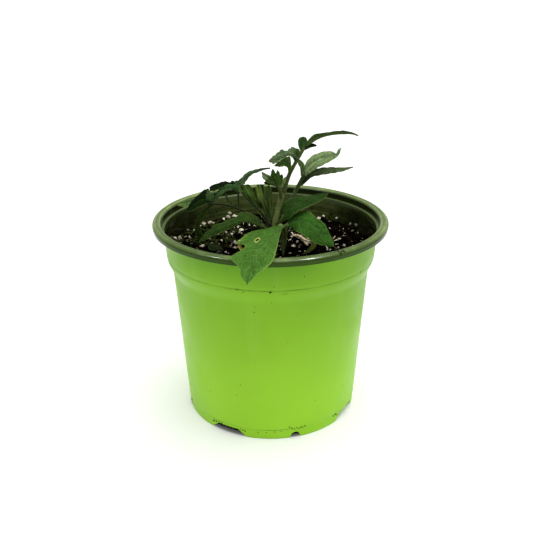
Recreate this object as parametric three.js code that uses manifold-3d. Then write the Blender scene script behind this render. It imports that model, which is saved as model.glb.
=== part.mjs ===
// A young tomato plant in a small two-tone nursery pot.
// Millimetres, +Z up. The origin is the middle of the pot's underside.
// The plant stands a little in front of the pot's centre, and -Y is the front.
import * as THREE from "three";
import { mergeVertices } from "three/addons/utils/BufferGeometryUtils.js";
import Module from "manifold-3d";

const wasm = await Module();
wasm.setup();

// Pot: a vacuum-formed tub with a stepped collar and a rolled lip.
const GAP = 0.3; // air between pieces that rest on each other
const SIDES = 48; // facets round the pot
const HEIGHT = 100;
const LIP_RADIUS = 57; // outside of the rolled lip
const MOUTH_RADIUS = 52.6; // inside of the rolled lip
const SKIN = 1; // sheet thickness
const ROLL_HEIGHT = 3.3; // crown of the lip down to its hanging edge
const ROLL_RISE = 1.7; // upper rounded part of the roll
const LEDGE_HEIGHT = 95.7; // small step inside the mouth
const COLLAR_TOP = [52, 95.2]; // [radius, height] outside
const COLLAR_FOOT = [51, 82.2];
const WALL_TOP = [48.5, 76.5];
const WALL_FOOT = [44.3, 5.2];
const FOOT_RADIUS = 43.9;
const FLOOR_UNDERSIDE = 3.8;
const FLOOR_CORNER = 2; // slope where the floor meets the wall inside
const PAD_RADIUS = 6; // solid spot under the middle of the floor
const NOTCH = { count: 4, turn: -29.5, foot: 20.2, crown: 11.2, height: 3.7 };
const SMALL_NOTCH = { count: 4, turn: 15.5, width: 5, height: 3 };
const DRAIN = { count: 4, turn: 15.5, radius: 3.5, ring: 28 };

// Potting mix: a dished, lumpy bed with pale grains standing out of it.
const SOIL_LEVEL = 84.6; // at the wall
const SOIL_DISH = 1.2; // lower by this at the middle
const LUMP = 0.5;
const WAVES = [ // swings per millimetre towards X and Y, and where each starts
  [0.31, 0.12, 0],
  [-0.17, 0.23, 1],
  [0.52, -0.47, 0],
];
const SOIL_RINGS = [0.8, 0.6, 0.42, 0.25, 0.1]; // shares of the bed's radius
const GRAINS = { count: 38, smallest: 0.9, largest: 2, nearest: 7, farthest: 47, seed: 7 };
const CHIP = { from: [10.3, 23, 85.4], to: [20.4, -2, 85.6], width: 4.4, depth: 1.8 };
const CHIP_TAPER = 1.2; // how fast it narrows to its ends
const CHIP_BEND = [1.2, 0.4]; // sideways and upward swing
const KEEP_CLEAR = [ // [x, y, radius] of places without grains: under leaves, stem and chip
  [2.2, -10, 6],
  [15.35, 10.5, 16],
  [-27, -4, 8],
  [17, -12, 8],
  [6, -13, 4],
];

// Plant: one stem, leaves round its crown, and seed leaves below them.
const STEM = [
  [2.2, -10, 60],
  [2.2, -10, 84],
  [2.8, -9.6, 92],
  [3.6, -9, 99.5],
  [4.7, -7.6, 106.6],
  [6.3, -5, 113.6],
];
const STEM_RADIUS = [1.75, 1.2]; // at its foot and at its top
const BLADE = 0.7; // leaf thickness
const ARCH = 0.1; // a blade's edges lie lower than its rib by this share of its width
const SWEEP = 0.5; // teeth point forward by this share of the half width
const SMALL_LEAFLET = 5; // narrower leaflets have one facet on each side of the rib
const FULLNESS = 0.8; // below 1 a leaflet's outline is fuller than a sine arch
const LEAST_HALF = 0.45; // half width of a leaflet's foot and tip
const UP = [0, 0, 1];

// Each leaf grows from the stem at a height, its stalk runs through the points
// given, and each leaflet leaves the stalk at a fraction of the stalk's length.
// A leaflet's rib runs through its path, and its upper side looks towards faces.
// It has its widest place at a share of the rib, and teeth of a depth that is a
// share of the half width. Left and right are as seen with the tip pointing away.
const LEAVES = [
  {
    name: "leaf_front",
    height: 93.6,
    stalk: [[3.2, -12.6, 97.4], [4.6, -15.4, 99.8]],
    radius: [1.2, 0.9],
    leaflets: [
      {
        at: 0.75,
        path: [
          [1.4, -32, 101.2],
          [-3.3, -46, 101.4],
          [-6, -55.8, 101.4],
          [-8.4, -61.4, 98],
          [-9.8, -65.2, 92.8],
        ],
        faces: UP,
        arch: 0.01,
        // Shares of the rib, then how far the left and the right edge stand out.
        outline: [
          [0, 1, 1.6],
          [0.05, 1.4, 6.5],
          [0.14, 2.4, 11],
          [0.28, 3.8, 13.6],
          [0.4, 4.6, 14.4],
          [0.48, 5.4, 9],
          [0.61, 6, 11.8],
          [0.74, 7.4, 13.2],
          [0.79, 6.6, 8],
          [0.89, 5, 4.8],
          [1, 0.4, 0.4],
        ],
      },
    ],
  },
  {
    name: "leaf_right",
    height: 95.8,
    stalk: [[6.2, -10.4, 97.8], [8.6, -11.6, 99.8]],
    radius: [1.1, 0.8],
    leaflets: [
      {
        at: 0.7,
        path: [[12, -13, 101.6], [17.5, -15, 101.2], [23.5, -18, 97.8], [29.3, -20.5, 91.6]],
        faces: [0.1, -0.6, 0.8],
        width: 16.5,
        widest: 0.34,
        teeth: 5,
        depth: 0.08,
      },
    ],
  },
  {
    name: "leaf_right_upper",
    height: 98.5,
    stalk: [[5.2, -10.6, 101.4], [6.2, -10.6, 104]],
    radius: [1, 0.8],
    leaflets: [
      {
        at: 0.6,
        path: [[8.6, -9.4, 107], [13.5, -6.7, 108.9], [20.4, -2.5, 110], [28.2, 3, 110.4]],
        faces: [0, -0.25, 1],
        width: 12.5,
        widest: 0.36,
        teeth: 4,
        depth: 0.1,
      },
    ],
  },
  {
    name: "leaf_left_low",
    height: 91.2,
    stalk: [[-0.8, -11, 96.2], [-4.4, -11.8, 99.4]],
    radius: [1.1, 0.8],
    leaflets: [
      {
        at: 0.75,
        path: [[-11.5, -10.6, 101.8], [-18.8, -9.2, 99], [-27.6, -7.6, 95.2], [-35, -6.6, 89]],
        faces: [0, -0.25, 1],
        width: 12.5,
        widest: 0.36,
        teeth: 5,
        depth: 0.12,
      },
    ],
  },
  {
    name: "leaf_left_far",
    height: 95.8,
    stalk: [[-1, -7, 96.8], [-4.1, -5.2, 97.8], [-13.8, 1, 102.4], [-21.5, 4, 103.8], [-31.5, 5, 104]],
    radius: [1.1, 0.6],
    leaflets: [
      {
        at: 0.92,
        path: [[-35, 6, 104.4], [-41, 7.5, 104], [-46, 8, 102.8]],
        faces: UP,
        width: 10,
        widest: 0.45,
        teeth: 4,
        depth: 0.25,
      },
      {
        at: 0.96,
        path: [[-31.6, 4.4, 107.6], [-30.2, 3.8, 112.6]],
        faces: [-0.3, -1, 0.2],
        width: 8,
        widest: 0.4,
        teeth: 3,
        depth: 0.2,
      },
      {
        at: 0.74,
        path: [[-31, 3, 101.8], [-35, 1.4, 95], [-36.2, 0, 88.2]],
        faces: [-0.8, -0.5, 0.3],
        width: 4.6,
        widest: 0.5,
        teeth: 4,
        depth: 0.15,
      },
    ],
  },
  {
    name: "leaf_left_tall",
    height: 98.2,
    stalk: [[0.2, -7.4, 99.6], [-6.8, -3, 105.5], [-14.1, 2, 111.4]],
    radius: [1.1, 0.7],
    leaflets: [
      {
        at: 0.92,
        path: [[-18, 3.4, 113.2], [-23, 5.4, 111.6], [-29.6, 7.6, 105.6]],
        faces: [-0.2, -0.3, 1],
        width: 9,
        widest: 0.45,
        teeth: 4,
        depth: 0.2,
      },
      {
        at: 0.94,
        path: [[-18.4, 6, 113.8], [-23.6, 7.4, 113.4], [-29.6, 7.4, 111.8]],
        faces: [0, 0.9, 0.6],
        width: 6,
        widest: 0.5,
        teeth: 3,
        depth: 0.15,
      },
      {
        at: 0.9,
        path: [[-15.4, 0.8, 115.6], [-10, 0, 120.8], [-5, 0, 122.8], [0.2, 0, 123.4]],
        faces: [-0.6, 0.1, 1],
        width: 5.6,
        widest: 0.3,
        teeth: 4,
        depth: 0.12,
      },
      {
        at: 0.16,
        path: [[-3.4, -3.4, 105], [-5.2, -1.6, 111], [-6, 1.6, 115.4]],
        faces: [0.15, 0.9, 0.3],
        width: 15.5,
        widest: 0.62,
        teeth: 3,
        depth: 0.12,
      },
    ],
  },
  {
    name: "leaf_back_right",
    height: 97.8,
    stalk: [[6.6, -4, 100], [11, 4.4, 105], [14.6, 6, 113], [16.6, 6.4, 116.4]],
    radius: [1.1, 1],
    leaflets: [
      {
        at: 0.93,
        path: [[18.4, 6.8, 121.4], [23, 7.6, 126], [30.6, 8, 128.2], [33.8, 8, 132]],
        faces: [-0.2, 0.8, 0.6],
        width: 10.5,
        widest: 0.42,
        teeth: 4,
        depth: 0.1,
      },
      {
        at: 0.93,
        path: [[21, 6.4, 119.6], [29, 6, 121.6], [39.6, 5, 122.8]],
        faces: [0.1, 0.1, 1],
        width: 8,
        widest: 0.4,
        teeth: 4,
        depth: 0.12,
      },
      {
        at: 0.97,
        path: [[15.2, 6.2, 121.6], [12.9, 5.4, 126.4]],
        faces: [0.3, 0.9, 0.3],
        width: 4,
        widest: 0.5,
        teeth: 2,
        depth: 0.12,
      },
    ],
  },
  {
    name: "leaf_top",
    height: 113.6,
    stalk: [[8.8, -4, 121.3], [11.6, -2.9, 126.4], [16, -2, 133.8]],
    radius: [1.15, 0.7],
    leaflets: [
      {
        at: 0.94,
        path: [[19.4, -2, 137.6], [25.2, -2, 140], [33.5, -2, 140.7], [41, -2, 139]],
        faces: [-0.15, 0.06, 1],
        width: 10,
        widest: 0.34,
        teeth: 5,
        depth: 0.16,
      },
      {
        at: 0.93,
        path: [[15.6, -0.8, 135], [15.2, -1, 138.4]],
        faces: [0, -1, 0.3],
        width: 5.6,
        widest: 0.55,
        teeth: 2,
        depth: 0.08,
      },
      {
        at: 0.92,
        path: [[18, -2.6, 134.6], [21.8, -3, 135.4]],
        faces: [0, -0.3, 1],
        width: 2.8,
        widest: 0.6,
        teeth: 2,
        depth: 0.1,
      },
      {
        at: 0.42,
        path: [[9, -4.4, 127.4], [6.4, -6.4, 131.4], [2.8, -8.4, 131], [-0.8, -10, 128.8]],
        faces: [-0.6, -0.6, 1],
        width: 10.5,
        widest: 0.6,
        teeth: 4,
        depth: 0.3,
      },
      {
        at: 0.4,
        path: [[8, -2.4, 125.2], [5.4, -3.4, 127], [1.8, -4.6, 125.4]],
        faces: [-0.2, 0.8, 0.6],
        width: 7,
        widest: 0.6,
        teeth: 3,
        depth: 0.3,
      },
      {
        at: 0.74,
        path: [[12.4, -2.2, 131.4], [9.8, -2.6, 133.6]],
        faces: [0, -0.8, 0.8],
        width: 4.4,
        widest: 0.5,
        teeth: 2,
        depth: 0.2,
      },
      {
        at: 0.6,
        path: [[10.8, -2.2, 129], [8.8, -2.4, 129.6]],
        faces: [0, -1, 0.4],
        width: 3.6,
        widest: 0.5,
        teeth: 2,
        depth: 0.2,
      },
    ],
  },
  {
    name: "leaf_young",
    height: 110.4,
    stalk: [[4.6, -9, 114.2], [4, -9.2, 117.6]],
    radius: [0.8, 0.6],
    leaflets: [
      {
        at: 0.8,
        path: [[2, -9, 121], [0.4, -8.8, 125.4]],
        faces: [-0.1, -1, 0.3],
        width: 9.5,
        widest: 0.5,
        teeth: 4,
        depth: 0.38,
      },
      {
        at: 0.9,
        path: [[0.4, -8.6, 120.4], [-4.4, -8, 122.8]],
        faces: [-0.3, -1, 0.5],
        width: 4.2,
        widest: 0.6,
        teeth: 3,
        depth: 0.35,
      },
      {
        at: 0.6,
        path: [[1, -8.4, 117.4], [-3.2, -7.8, 118.4]],
        faces: [0, -0.6, 1],
        width: 4.4,
        widest: 0.5,
        teeth: 3,
        depth: 0.3,
      },
      {
        at: 0.66,
        path: [[6, -9.6, 118.4], [7.4, -9.6, 121.6]],
        faces: [0.2, -1, 0.4],
        width: 3.8,
        widest: 0.5,
        teeth: 2,
        depth: 0.2,
      },
    ],
  },
  {
    name: "seed_leaf_front",
    height: 89.6,
    stalk: [[5.2, -12, 94.6], [5.8, -13.6, 96.8]],
    radius: [0.8, 0.6],
    leaflets: [
      {
        at: 0.85,
        path: [[5.8, -14, 94.6], [5.9, -13.6, 89.6], [6.1, -12.6, 85.3]],
        faces: [0, -1, 0.1],
        width: 4.4,
        widest: 0.24,
        teeth: 3,
        depth: 0,
      },
    ],
  },
  {
    name: "seed_leaf_right",
    height: 89.2,
    stalk: [[7, -8, 92.4], [13, -5, 92.6]],
    radius: [0.8, 0.6],
    leaflets: [
      {
        at: 0.85,
        path: [[18.6, -4.4, 91], [21, -7, 88.2], [18.4, -12.4, 86.9], [15, -16.6, 86.6]],
        faces: [0.4, 0, 1],
        width: 4.4,
        widest: 0.5,
        teeth: 4,
        depth: 0,
      },
    ],
  },
];
const SHED_LEAFLET = {
  path: [[-23.1, -6.6, 84.9], [-26.9, -3.7, 85], [-30.8, -1.2, 85.2]],
  faces: UP,
  width: 6.4,
  widest: 0.5,
  teeth: 3,
  depth: 0.08,
};

/** A seeded stream of numbers from 0 to 1, so that every build is the same. */
function seeded(seed) {
  let state = seed;
  return () => {
    state = (state * 16807) % 2147483647;
    return state / 2147483647;
  };
}

/** Merges a geometry's shared corners and makes it a solid that can be cut. */
function solid(geometry) {
  const bare = geometry.clone();
  bare.deleteAttribute("normal");
  bare.deleteAttribute("uv");
  const merged = mergeVertices(bare, 1e-4);
  const corners = merged.index.array;
  const faces = [];
  for (let i = 0; i < corners.length; i += 3) {
    const [a, b, c] = corners.slice(i, i + 3);
    if (a !== b && b !== c && c !== a) faces.push(a, b, c);
  }
  return new wasm.Manifold(
    new wasm.Mesh({
      numProp: 3,
      vertProperties: Float32Array.from(merged.attributes.position.array),
      triVerts: Uint32Array.from(faces),
    }),
  );
}

/** Turns a solid back into a named mesh with its own material. */
function mesh(name, piece, color, roughness) {
  const { numProp, vertProperties, triVerts } = piece.getMesh();
  const places = [];
  for (let i = 0; i < vertProperties.length; i += numProp) {
    places.push(...vertProperties.slice(i, i + 3));
  }
  const geometry = new THREE.BufferGeometry();
  geometry.setAttribute("position", new THREE.Float32BufferAttribute(places, 3));
  geometry.setIndex([...triVerts]);
  geometry.computeVertexNormals();
  const material = new THREE.MeshStandardMaterial({ color, roughness, metalness: 0 });
  const result = new THREE.Mesh(geometry, material);
  result.name = name;
  return result;
}

const point = (place) => new THREE.Vector3(...place);

/** A smooth line through the places given. */
function curve(places) {
  return new THREE.CatmullRomCurve3(places.map(point), false, "centripetal");
}

/** Turns a profile of [radius, height] pairs round the pot's axis. */
function turned(profile) {
  const points = profile.map(([radius, height]) => new THREE.Vector2(radius, height));
  return new THREE.LatheGeometry(points, SIDES).rotateX(Math.PI / 2);
}

/** Places on an arc of an upright ellipse, angles in degrees from straight out. */
function arc([radius, height], halfWidth, halfHeight, from, to, steps) {
  return Array.from({ length: steps + 1 }, (_, i) => {
    const angle = THREE.MathUtils.degToRad(from + ((to - from) * i) / steps);
    return [radius + halfWidth * Math.cos(angle), height + halfHeight * Math.sin(angle)];
  });
}

/** A closed tapered tube: a cylinder bent along a curve. */
function tube(path, radii, sides, steps) {
  const geometry = new THREE.CylinderGeometry(1, 1, 1, sides, steps);
  const frames = path.computeFrenetFrames(steps);
  const places = geometry.attributes.position;
  for (let i = 0; i < places.count; i += 1) {
    const share = places.getY(i) + 0.5;
    const step = Math.round(share * steps);
    const radius = THREE.MathUtils.lerp(radii[0], radii[1], share);
    const place = path
      .getPointAt(share)
      .addScaledVector(frames.normals[step], places.getZ(i) * radius)
      .addScaledVector(frames.binormals[step], places.getX(i) * radius);
    places.setXYZ(i, place.x, place.y, place.z);
  }
  return solid(geometry);
}

/** How far the left and right edges stand from the rib, row by row. */
function outlineRows({ outline, width, widest, teeth, depth }) {
  if (outline) return outline;
  const rows = 2 * teeth + 2;
  const power = Math.log(0.5) / Math.log(widest);
  return Array.from({ length: rows + 1 }, (_, row) => {
    const share = row / rows;
    const body = Math.sin(Math.PI * share ** power) ** FULLNESS;
    const notch = row % 2 === 0 ? depth : 0;
    const half = Math.max(LEAST_HALF, (width / 2) * body * (1 - notch));
    return [share, half, half];
  });
}

/** A closed thin leaf blade, arched across its rib, with teeth that point forward. */
function blade(leaflet, root) {
  const rib = curve([root, ...leaflet.path]);
  const length = rib.getLength();
  const rows = outlineRows(leaflet);
  const across = leaflet.width < SMALL_LEAFLET ? [-1, 0, 1] : [-1, -0.5, 0, 0.5, 1];
  const faces = point(leaflet.faces).normalize();
  const { arch = ARCH } = leaflet;
  const top = [];
  const bottom = [];
  for (const [share, left, right] of rows) {
    for (const side of across) {
      const reach = side < 0 ? left : right;
      const ahead = (SWEEP * Math.abs(side) * reach * (1 - share)) / length;
      const along = Math.min(1, share + ahead);
      const forward = rib.getTangentAt(along);
      const sideways = new THREE.Vector3().crossVectors(forward, faces).normalize();
      const normal = new THREE.Vector3().crossVectors(sideways, forward);
      const place = rib
        .getPointAt(along)
        .addScaledVector(sideways, side * reach)
        .addScaledVector(normal, -arch * 2 * side * side * reach);
      top.push(place.clone().addScaledVector(normal, BLADE / 2));
      bottom.push(place.clone().addScaledVector(normal, -BLADE / 2));
    }
  }
  return solid(sheet(top, bottom, rows.length, across.length));
}

/** Joins two like grids of places into one closed skin, split alike on both faces. */
function sheet(top, bottom, rows, columns) {
  const index = [];
  const under = top.length;
  const at = (row, column) => row * columns + column;
  for (let row = 0; row < rows - 1; row += 1) {
    for (let column = 0; column < columns - 1; column += 1) {
      const a = at(row, column);
      const b = at(row + 1, column);
      const c = at(row + 1, column + 1);
      const d = at(row, column + 1);
      index.push(a, d, b, b, d, c);
      index.push(under + a, under + b, under + d, under + b, under + c, under + d);
    }
  }
  const edge = [];
  for (let row = 0; row < rows - 1; row += 1) edge.push(at(row, columns - 1));
  for (let column = columns - 1; column > 0; column -= 1) edge.push(at(rows - 1, column));
  for (let row = rows - 1; row > 0; row -= 1) edge.push(at(row, 0));
  for (let column = 0; column < columns - 1; column += 1) edge.push(at(0, column));
  edge.forEach((here, i) => {
    const next = edge[(i + 1) % edge.length];
    index.push(here, under + here, next, next, under + here, under + next);
  });
  const geometry = new THREE.BufferGeometry().setFromPoints([...top, ...bottom]);
  geometry.setIndex(index);
  return geometry;
}

/** The pot's skin, turned in one piece, with its notches and drain holes cut. */
function pot() {
  const rollCentre = (LIP_RADIUS + MOUTH_RADIUS) / 2;
  const rollHalf = (LIP_RADIUS - MOUTH_RADIUS) / 2;
  const crown = [rollCentre, HEIGHT - ROLL_RISE];
  const skirt = HEIGHT - ROLL_HEIGHT;
  const profile = [
    [0, 0],
    [PAD_RADIUS, 0],
    [PAD_RADIUS + 0.6, FLOOR_UNDERSIDE],
    [FOOT_RADIUS - SKIN - 0.8, FLOOR_UNDERSIDE],
    [FOOT_RADIUS - SKIN, FLOOR_UNDERSIDE - 0.8],
    [FOOT_RADIUS - SKIN, 0],
    [FOOT_RADIUS, 0],
    [FOOT_RADIUS, WALL_FOOT[1] - 0.4],
    WALL_FOOT,
    WALL_TOP,
    [WALL_TOP[0] + 0.7, WALL_TOP[1] + 2],
    [COLLAR_FOOT[0] - 0.5, COLLAR_FOOT[1] - 1.6],
    COLLAR_FOOT,
    COLLAR_TOP,
    [MOUTH_RADIUS + SKIN, LEDGE_HEIGHT + 0.5],
    ...arc(crown, rollHalf - SKIN, ROLL_RISE - SKIN, 180, 0, 2),
    [LIP_RADIUS - SKIN, skirt],
    [LIP_RADIUS - 0.2, skirt],
    ...arc(crown, rollHalf, ROLL_RISE, 0, 180, 6),
    [MOUTH_RADIUS, LEDGE_HEIGHT + 0.2],
    [COLLAR_TOP[0] - 0.6, LEDGE_HEIGHT],
    [COLLAR_TOP[0] - SKIN - 0.2, COLLAR_TOP[1] - 1.5],
    [COLLAR_FOOT[0] - SKIN, COLLAR_FOOT[1] + 0.4],
    [WALL_TOP[0] - SKIN, WALL_TOP[1] + 0.6],
    [WALL_FOOT[0] - SKIN, FLOOR_UNDERSIDE + SKIN + FLOOR_CORNER],
    [WALL_FOOT[0] - SKIN - FLOOR_CORNER, FLOOR_UNDERSIDE + SKIN],
    [0, FLOOR_UNDERSIDE + SKIN],
  ];
  const wide = new THREE.Shape()
    .moveTo(-NOTCH.foot / 2 - 1, -1)
    .lineTo(NOTCH.foot / 2 + 1, -1)
    .lineTo(NOTCH.crown / 2, NOTCH.height)
    .lineTo(-NOTCH.crown / 2, NOTCH.height);
  const small = new THREE.Shape();
  small.moveTo(SMALL_NOTCH.width / 2, -1);
  small.absellipse(0, 0, SMALL_NOTCH.width / 2, SMALL_NOTCH.height, 0, Math.PI, false);
  small.lineTo(-SMALL_NOTCH.width / 2, -1);
  return solid(turned(profile))
    .subtract(throughFoot(wide, NOTCH))
    .subtract(throughFoot(small, SMALL_NOTCH))
    .subtract(drainHoles());
}

/** A notch's outline pushed through the foot ring, once for each place round it. */
function throughFoot(shape, { count, turn }) {
  const reach = 3;
  const depth = 2 * reach;
  const cutter = new THREE.ExtrudeGeometry(shape, { depth, bevelEnabled: false, curveSegments: 8 })
    .rotateX(Math.PI / 2)
    .translate(0, -(FOOT_RADIUS - SKIN) + reach, 0);
  return roundTheAxis(cutter, count, turn);
}

/** Drain holes through the floor. */
function drainHoles() {
  const { count, turn, radius, ring } = DRAIN;
  const cutter = new THREE.CylinderGeometry(radius, radius, 4, 12)
    .rotateX(Math.PI / 2)
    .translate(0, -ring, FLOOR_UNDERSIDE);
  return roundTheAxis(cutter, count, turn);
}

/** Copies of a cutter round the pot's axis, the first turned from the front. */
function roundTheAxis(cutter, count, turn) {
  let all = null;
  for (let i = 0; i < count; i += 1) {
    const angle = THREE.MathUtils.degToRad(turn + (360 * i) / count);
    const piece = solid(cutter.clone().rotateZ(angle));
    all = all ? all.add(piece) : piece;
  }
  return all;
}

/** Height of the potting mix at a place: dished, with lumps from crossing waves. */
function soilHeight(x, y) {
  const out = Math.hypot(x, y) / COLLAR_FOOT[0];
  const swings = WAVES.map(([alongX, alongY, start]) => Math.sin(alongX * x + alongY * y + start));
  const waves = swings.reduce((sum, swing) => sum + swing);
  return SOIL_LEVEL - SOIL_DISH * (1 - out * out) + (LUMP * waves) / 2;
}

/** The bark chip on the mix, or its bed when it is made larger. */
function chip(extra) {
  const from = point(CHIP.from);
  const to = point(CHIP.to);
  const length = from.distanceTo(to) + 2 * extra;
  const width = CHIP.width + 2 * extra;
  const depth = CHIP.depth + 2 * extra;
  const geometry = new THREE.BoxGeometry(width, length, depth, 2, 6, 1);
  const places = geometry.attributes.position;
  for (let i = 0; i < places.count; i += 1) {
    const share = places.getY(i) / length;
    const taper = 1 - CHIP_TAPER * share * share;
    places.setX(i, places.getX(i) * taper + CHIP_BEND[0] * Math.sin(5 * share));
    places.setZ(i, places.getZ(i) + CHIP_BEND[1] * Math.sin(4 * share));
  }
  const middle = from.clone().lerp(to, 0.5);
  const turn = Math.atan2(to.y - from.y, to.x - from.x) - Math.PI / 2;
  return solid(geometry.rotateZ(turn).translate(middle.x, middle.y, middle.z));
}

/** Few-sided pale grains, sunk into the mix and clear of stem, chip and wall. */
function grains() {
  const random = seeded(GRAINS.seed);
  const found = [];
  while (found.length < GRAINS.count) {
    const ring = THREE.MathUtils.lerp(GRAINS.nearest, GRAINS.farthest, Math.sqrt(random()));
    const angle = 2 * Math.PI * random();
    const size = THREE.MathUtils.lerp(GRAINS.smallest, GRAINS.largest, random() ** 2);
    const turn = random() * Math.PI;
    const x = ring * Math.cos(angle);
    const y = ring * Math.sin(angle);
    const blocked = KEEP_CLEAR.some(([cx, cy, radius]) => Math.hypot(x - cx, y - cy) < radius);
    if (blocked) continue;
    const grain = new THREE.IcosahedronGeometry(size, 0)
      .scale(1.2, 0.9, 0.8)
      .rotateZ(turn)
      .translate(x, y, soilHeight(x, y) + 0.1 * size);
    found.push(solid(grain));
  }
  return found.reduce((all, grain) => all.add(grain));
}

/** The potting mix: fills the pot to its level, with the stem's hole and the chip's bed. */
function soil(stemHole) {
  const foot = WALL_FOOT[0] - SKIN - GAP - 0.2;
  const floor = FLOOR_UNDERSIDE + SKIN + GAP;
  const edge = COLLAR_FOOT[0] - SKIN - GAP;
  const geometry = turned([
    [0, floor],
    [foot - FLOOR_CORNER - 0.4, floor],
    [foot, floor + FLOOR_CORNER + 0.4],
    [WALL_TOP[0] - SKIN - GAP, WALL_TOP[1] + 0.8],
    [edge, COLLAR_FOOT[1] + 0.8],
    [edge, SOIL_LEVEL],
    ...SOIL_RINGS.map((share) => [edge * share, SOIL_LEVEL]),
    [0, SOIL_LEVEL],
  ]);
  const places = geometry.attributes.position;
  for (let i = 0; i < places.count; i += 1) {
    if (places.getZ(i) < SOIL_LEVEL - 0.01) continue;
    places.setZ(i, soilHeight(places.getX(i), places.getY(i)));
  }
  return solid(geometry).add(grains()).subtract(stemHole).subtract(chip(GAP));
}

const stemCurve = curve(STEM);

/** The stem, or the room round it when it is made thicker and as much longer. */
function stem(extra) {
  const radii = STEM_RADIUS.map((radius) => radius + extra);
  if (extra === 0) return tube(stemCurve, radii, 10, 18);
  const foot = stemCurve.getPointAt(0).addScaledVector(stemCurve.getTangentAt(0), -extra);
  const top = stemCurve.getPointAt(1).addScaledVector(stemCurve.getTangentAt(1), extra);
  return tube(curve([foot.toArray(), ...STEM, top.toArray()]), radii, 10, 18);
}

/** The stem's axis at a height, found by halving. */
function stemAt(height) {
  let low = 0;
  let high = 1;
  for (let i = 0; i < 24; i += 1) {
    const middle = (low + high) / 2;
    if (stemCurve.getPointAt(middle).z < height) low = middle;
    else high = middle;
  }
  return stemCurve.getPointAt(low).toArray();
}

/** One leaf: its stalk and leaflets fused, cut clear of the stem. */
function leaf({ height, stalk, radius, leaflets }, stemRoom) {
  const path = curve([stemAt(height), ...stalk]);
  const steps = Math.max(6, Math.round(path.getLength() / 3));
  let whole = tube(path, radius, 6, steps);
  for (const leaflet of leaflets) {
    const root = path.getPointAt(leaflet.at).toArray();
    whole = whole.add(blade(leaflet, root));
  }
  return whole.subtract(stemRoom);
}

const stemRoom = stem(GAP);
const plant = new THREE.Group();
plant.add(mesh("pot", pot(), 0x76a92f, 0.35));
plant.add(mesh("potting_mix", soil(stemRoom), 0x1c120c, 0.95));
plant.add(mesh("bark_chip", chip(0), 0xb59a72, 0.9));
plant.add(mesh("stem", stem(0), 0x6f7a3c, 0.6));
for (const entry of LEAVES) {
  plant.add(mesh(entry.name, leaf(entry, stemRoom), 0x3f6a2a, 0.55));
}
const { path: shedPath, ...shedForm } = SHED_LEAFLET;
const shedBlade = blade({ ...shedForm, path: shedPath.slice(1) }, shedPath[0]);
plant.add(mesh("shed_leaflet", shedBlade, 0x34502c, 0.6));

export default plant;
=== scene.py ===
# %% [markdown]
# # A young tomato plant in a two-tone nursery pot
#
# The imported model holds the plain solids: a pot, its potting mix, a bark chip, a stem and the
# leaves. This notebook gives each of them its real surface. The pot becomes a smooth turned
# skin, the potting mix a bed of crumbs and pale grains, and each leaf a set of thin, veined,
# toothed blades on hairy stalks. Lengths in the text and in the values are millimetres, and
# every shape is turned into metres when it goes into a mesh.

import math

import bmesh
import bpy
import numpy as np
from mathutils import Matrix, Vector
from mathutils.bvhtree import BVHTree


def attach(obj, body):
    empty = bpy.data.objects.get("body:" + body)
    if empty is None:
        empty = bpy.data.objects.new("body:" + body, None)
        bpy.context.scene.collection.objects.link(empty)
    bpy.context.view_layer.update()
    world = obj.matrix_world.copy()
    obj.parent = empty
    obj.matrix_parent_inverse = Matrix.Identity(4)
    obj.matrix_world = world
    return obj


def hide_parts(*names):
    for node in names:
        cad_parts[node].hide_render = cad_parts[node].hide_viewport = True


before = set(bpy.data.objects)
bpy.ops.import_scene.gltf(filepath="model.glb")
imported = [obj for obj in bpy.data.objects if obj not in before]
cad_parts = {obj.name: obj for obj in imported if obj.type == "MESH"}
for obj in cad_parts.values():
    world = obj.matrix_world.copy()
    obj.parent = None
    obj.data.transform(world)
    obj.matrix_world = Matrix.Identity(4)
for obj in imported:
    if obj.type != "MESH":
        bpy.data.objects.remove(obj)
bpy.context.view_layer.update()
MM = 0.001
print("CAD nodes:", ", ".join(sorted(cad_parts)))

# %% [markdown]
# ## The camera
#
# The lip, the collar and the foot ring of the pot are circles, so the ellipses that they make
# in the picture tell where the camera stood. It looked down by 26 degrees from a third of a
# metre away. The picture's middle isn't where the lens pointed, so the lens is shifted a little.

# %% The photograph's camera
FRAME_PIXELS = 533
FOCAL_PIXELS = 701.0
SENSOR_WIDTH = 36.0
CAMERA_PLACE = np.array([0.0, -325.5, 209.7])
CAMERA_DIP = math.radians(26.10)
CAMERA_ROLL = math.radians(0.336)
AXIS_PIXEL = (270.91, 307.92)  # where the lens axis meets the picture

camera_data = bpy.data.cameras.new("photo_camera")
camera_data.sensor_width = SENSOR_WIDTH
camera_data.lens = SENSOR_WIDTH * FOCAL_PIXELS / FRAME_PIXELS
camera_data.shift_x = (FRAME_PIXELS / 2 - AXIS_PIXEL[0]) / FRAME_PIXELS
camera_data.shift_y = (AXIS_PIXEL[1] - FRAME_PIXELS / 2) / FRAME_PIXELS
camera_data.clip_start = 0.01
camera = bpy.data.objects.new("photo_camera", camera_data)
bpy.context.scene.collection.objects.link(camera)
camera.matrix_world = (
    Matrix.Translation(Vector(CAMERA_PLACE * MM))
    @ Matrix.Rotation(math.pi / 2 - CAMERA_DIP, 4, "X")
    @ Matrix.Rotation(-CAMERA_ROLL, 4, "Z")
)
bpy.context.scene.camera = camera
print(f"lens {camera_data.lens:.1f} mm, shift {camera_data.shift_x:.4f}, {camera_data.shift_y:.4f}")


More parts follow.
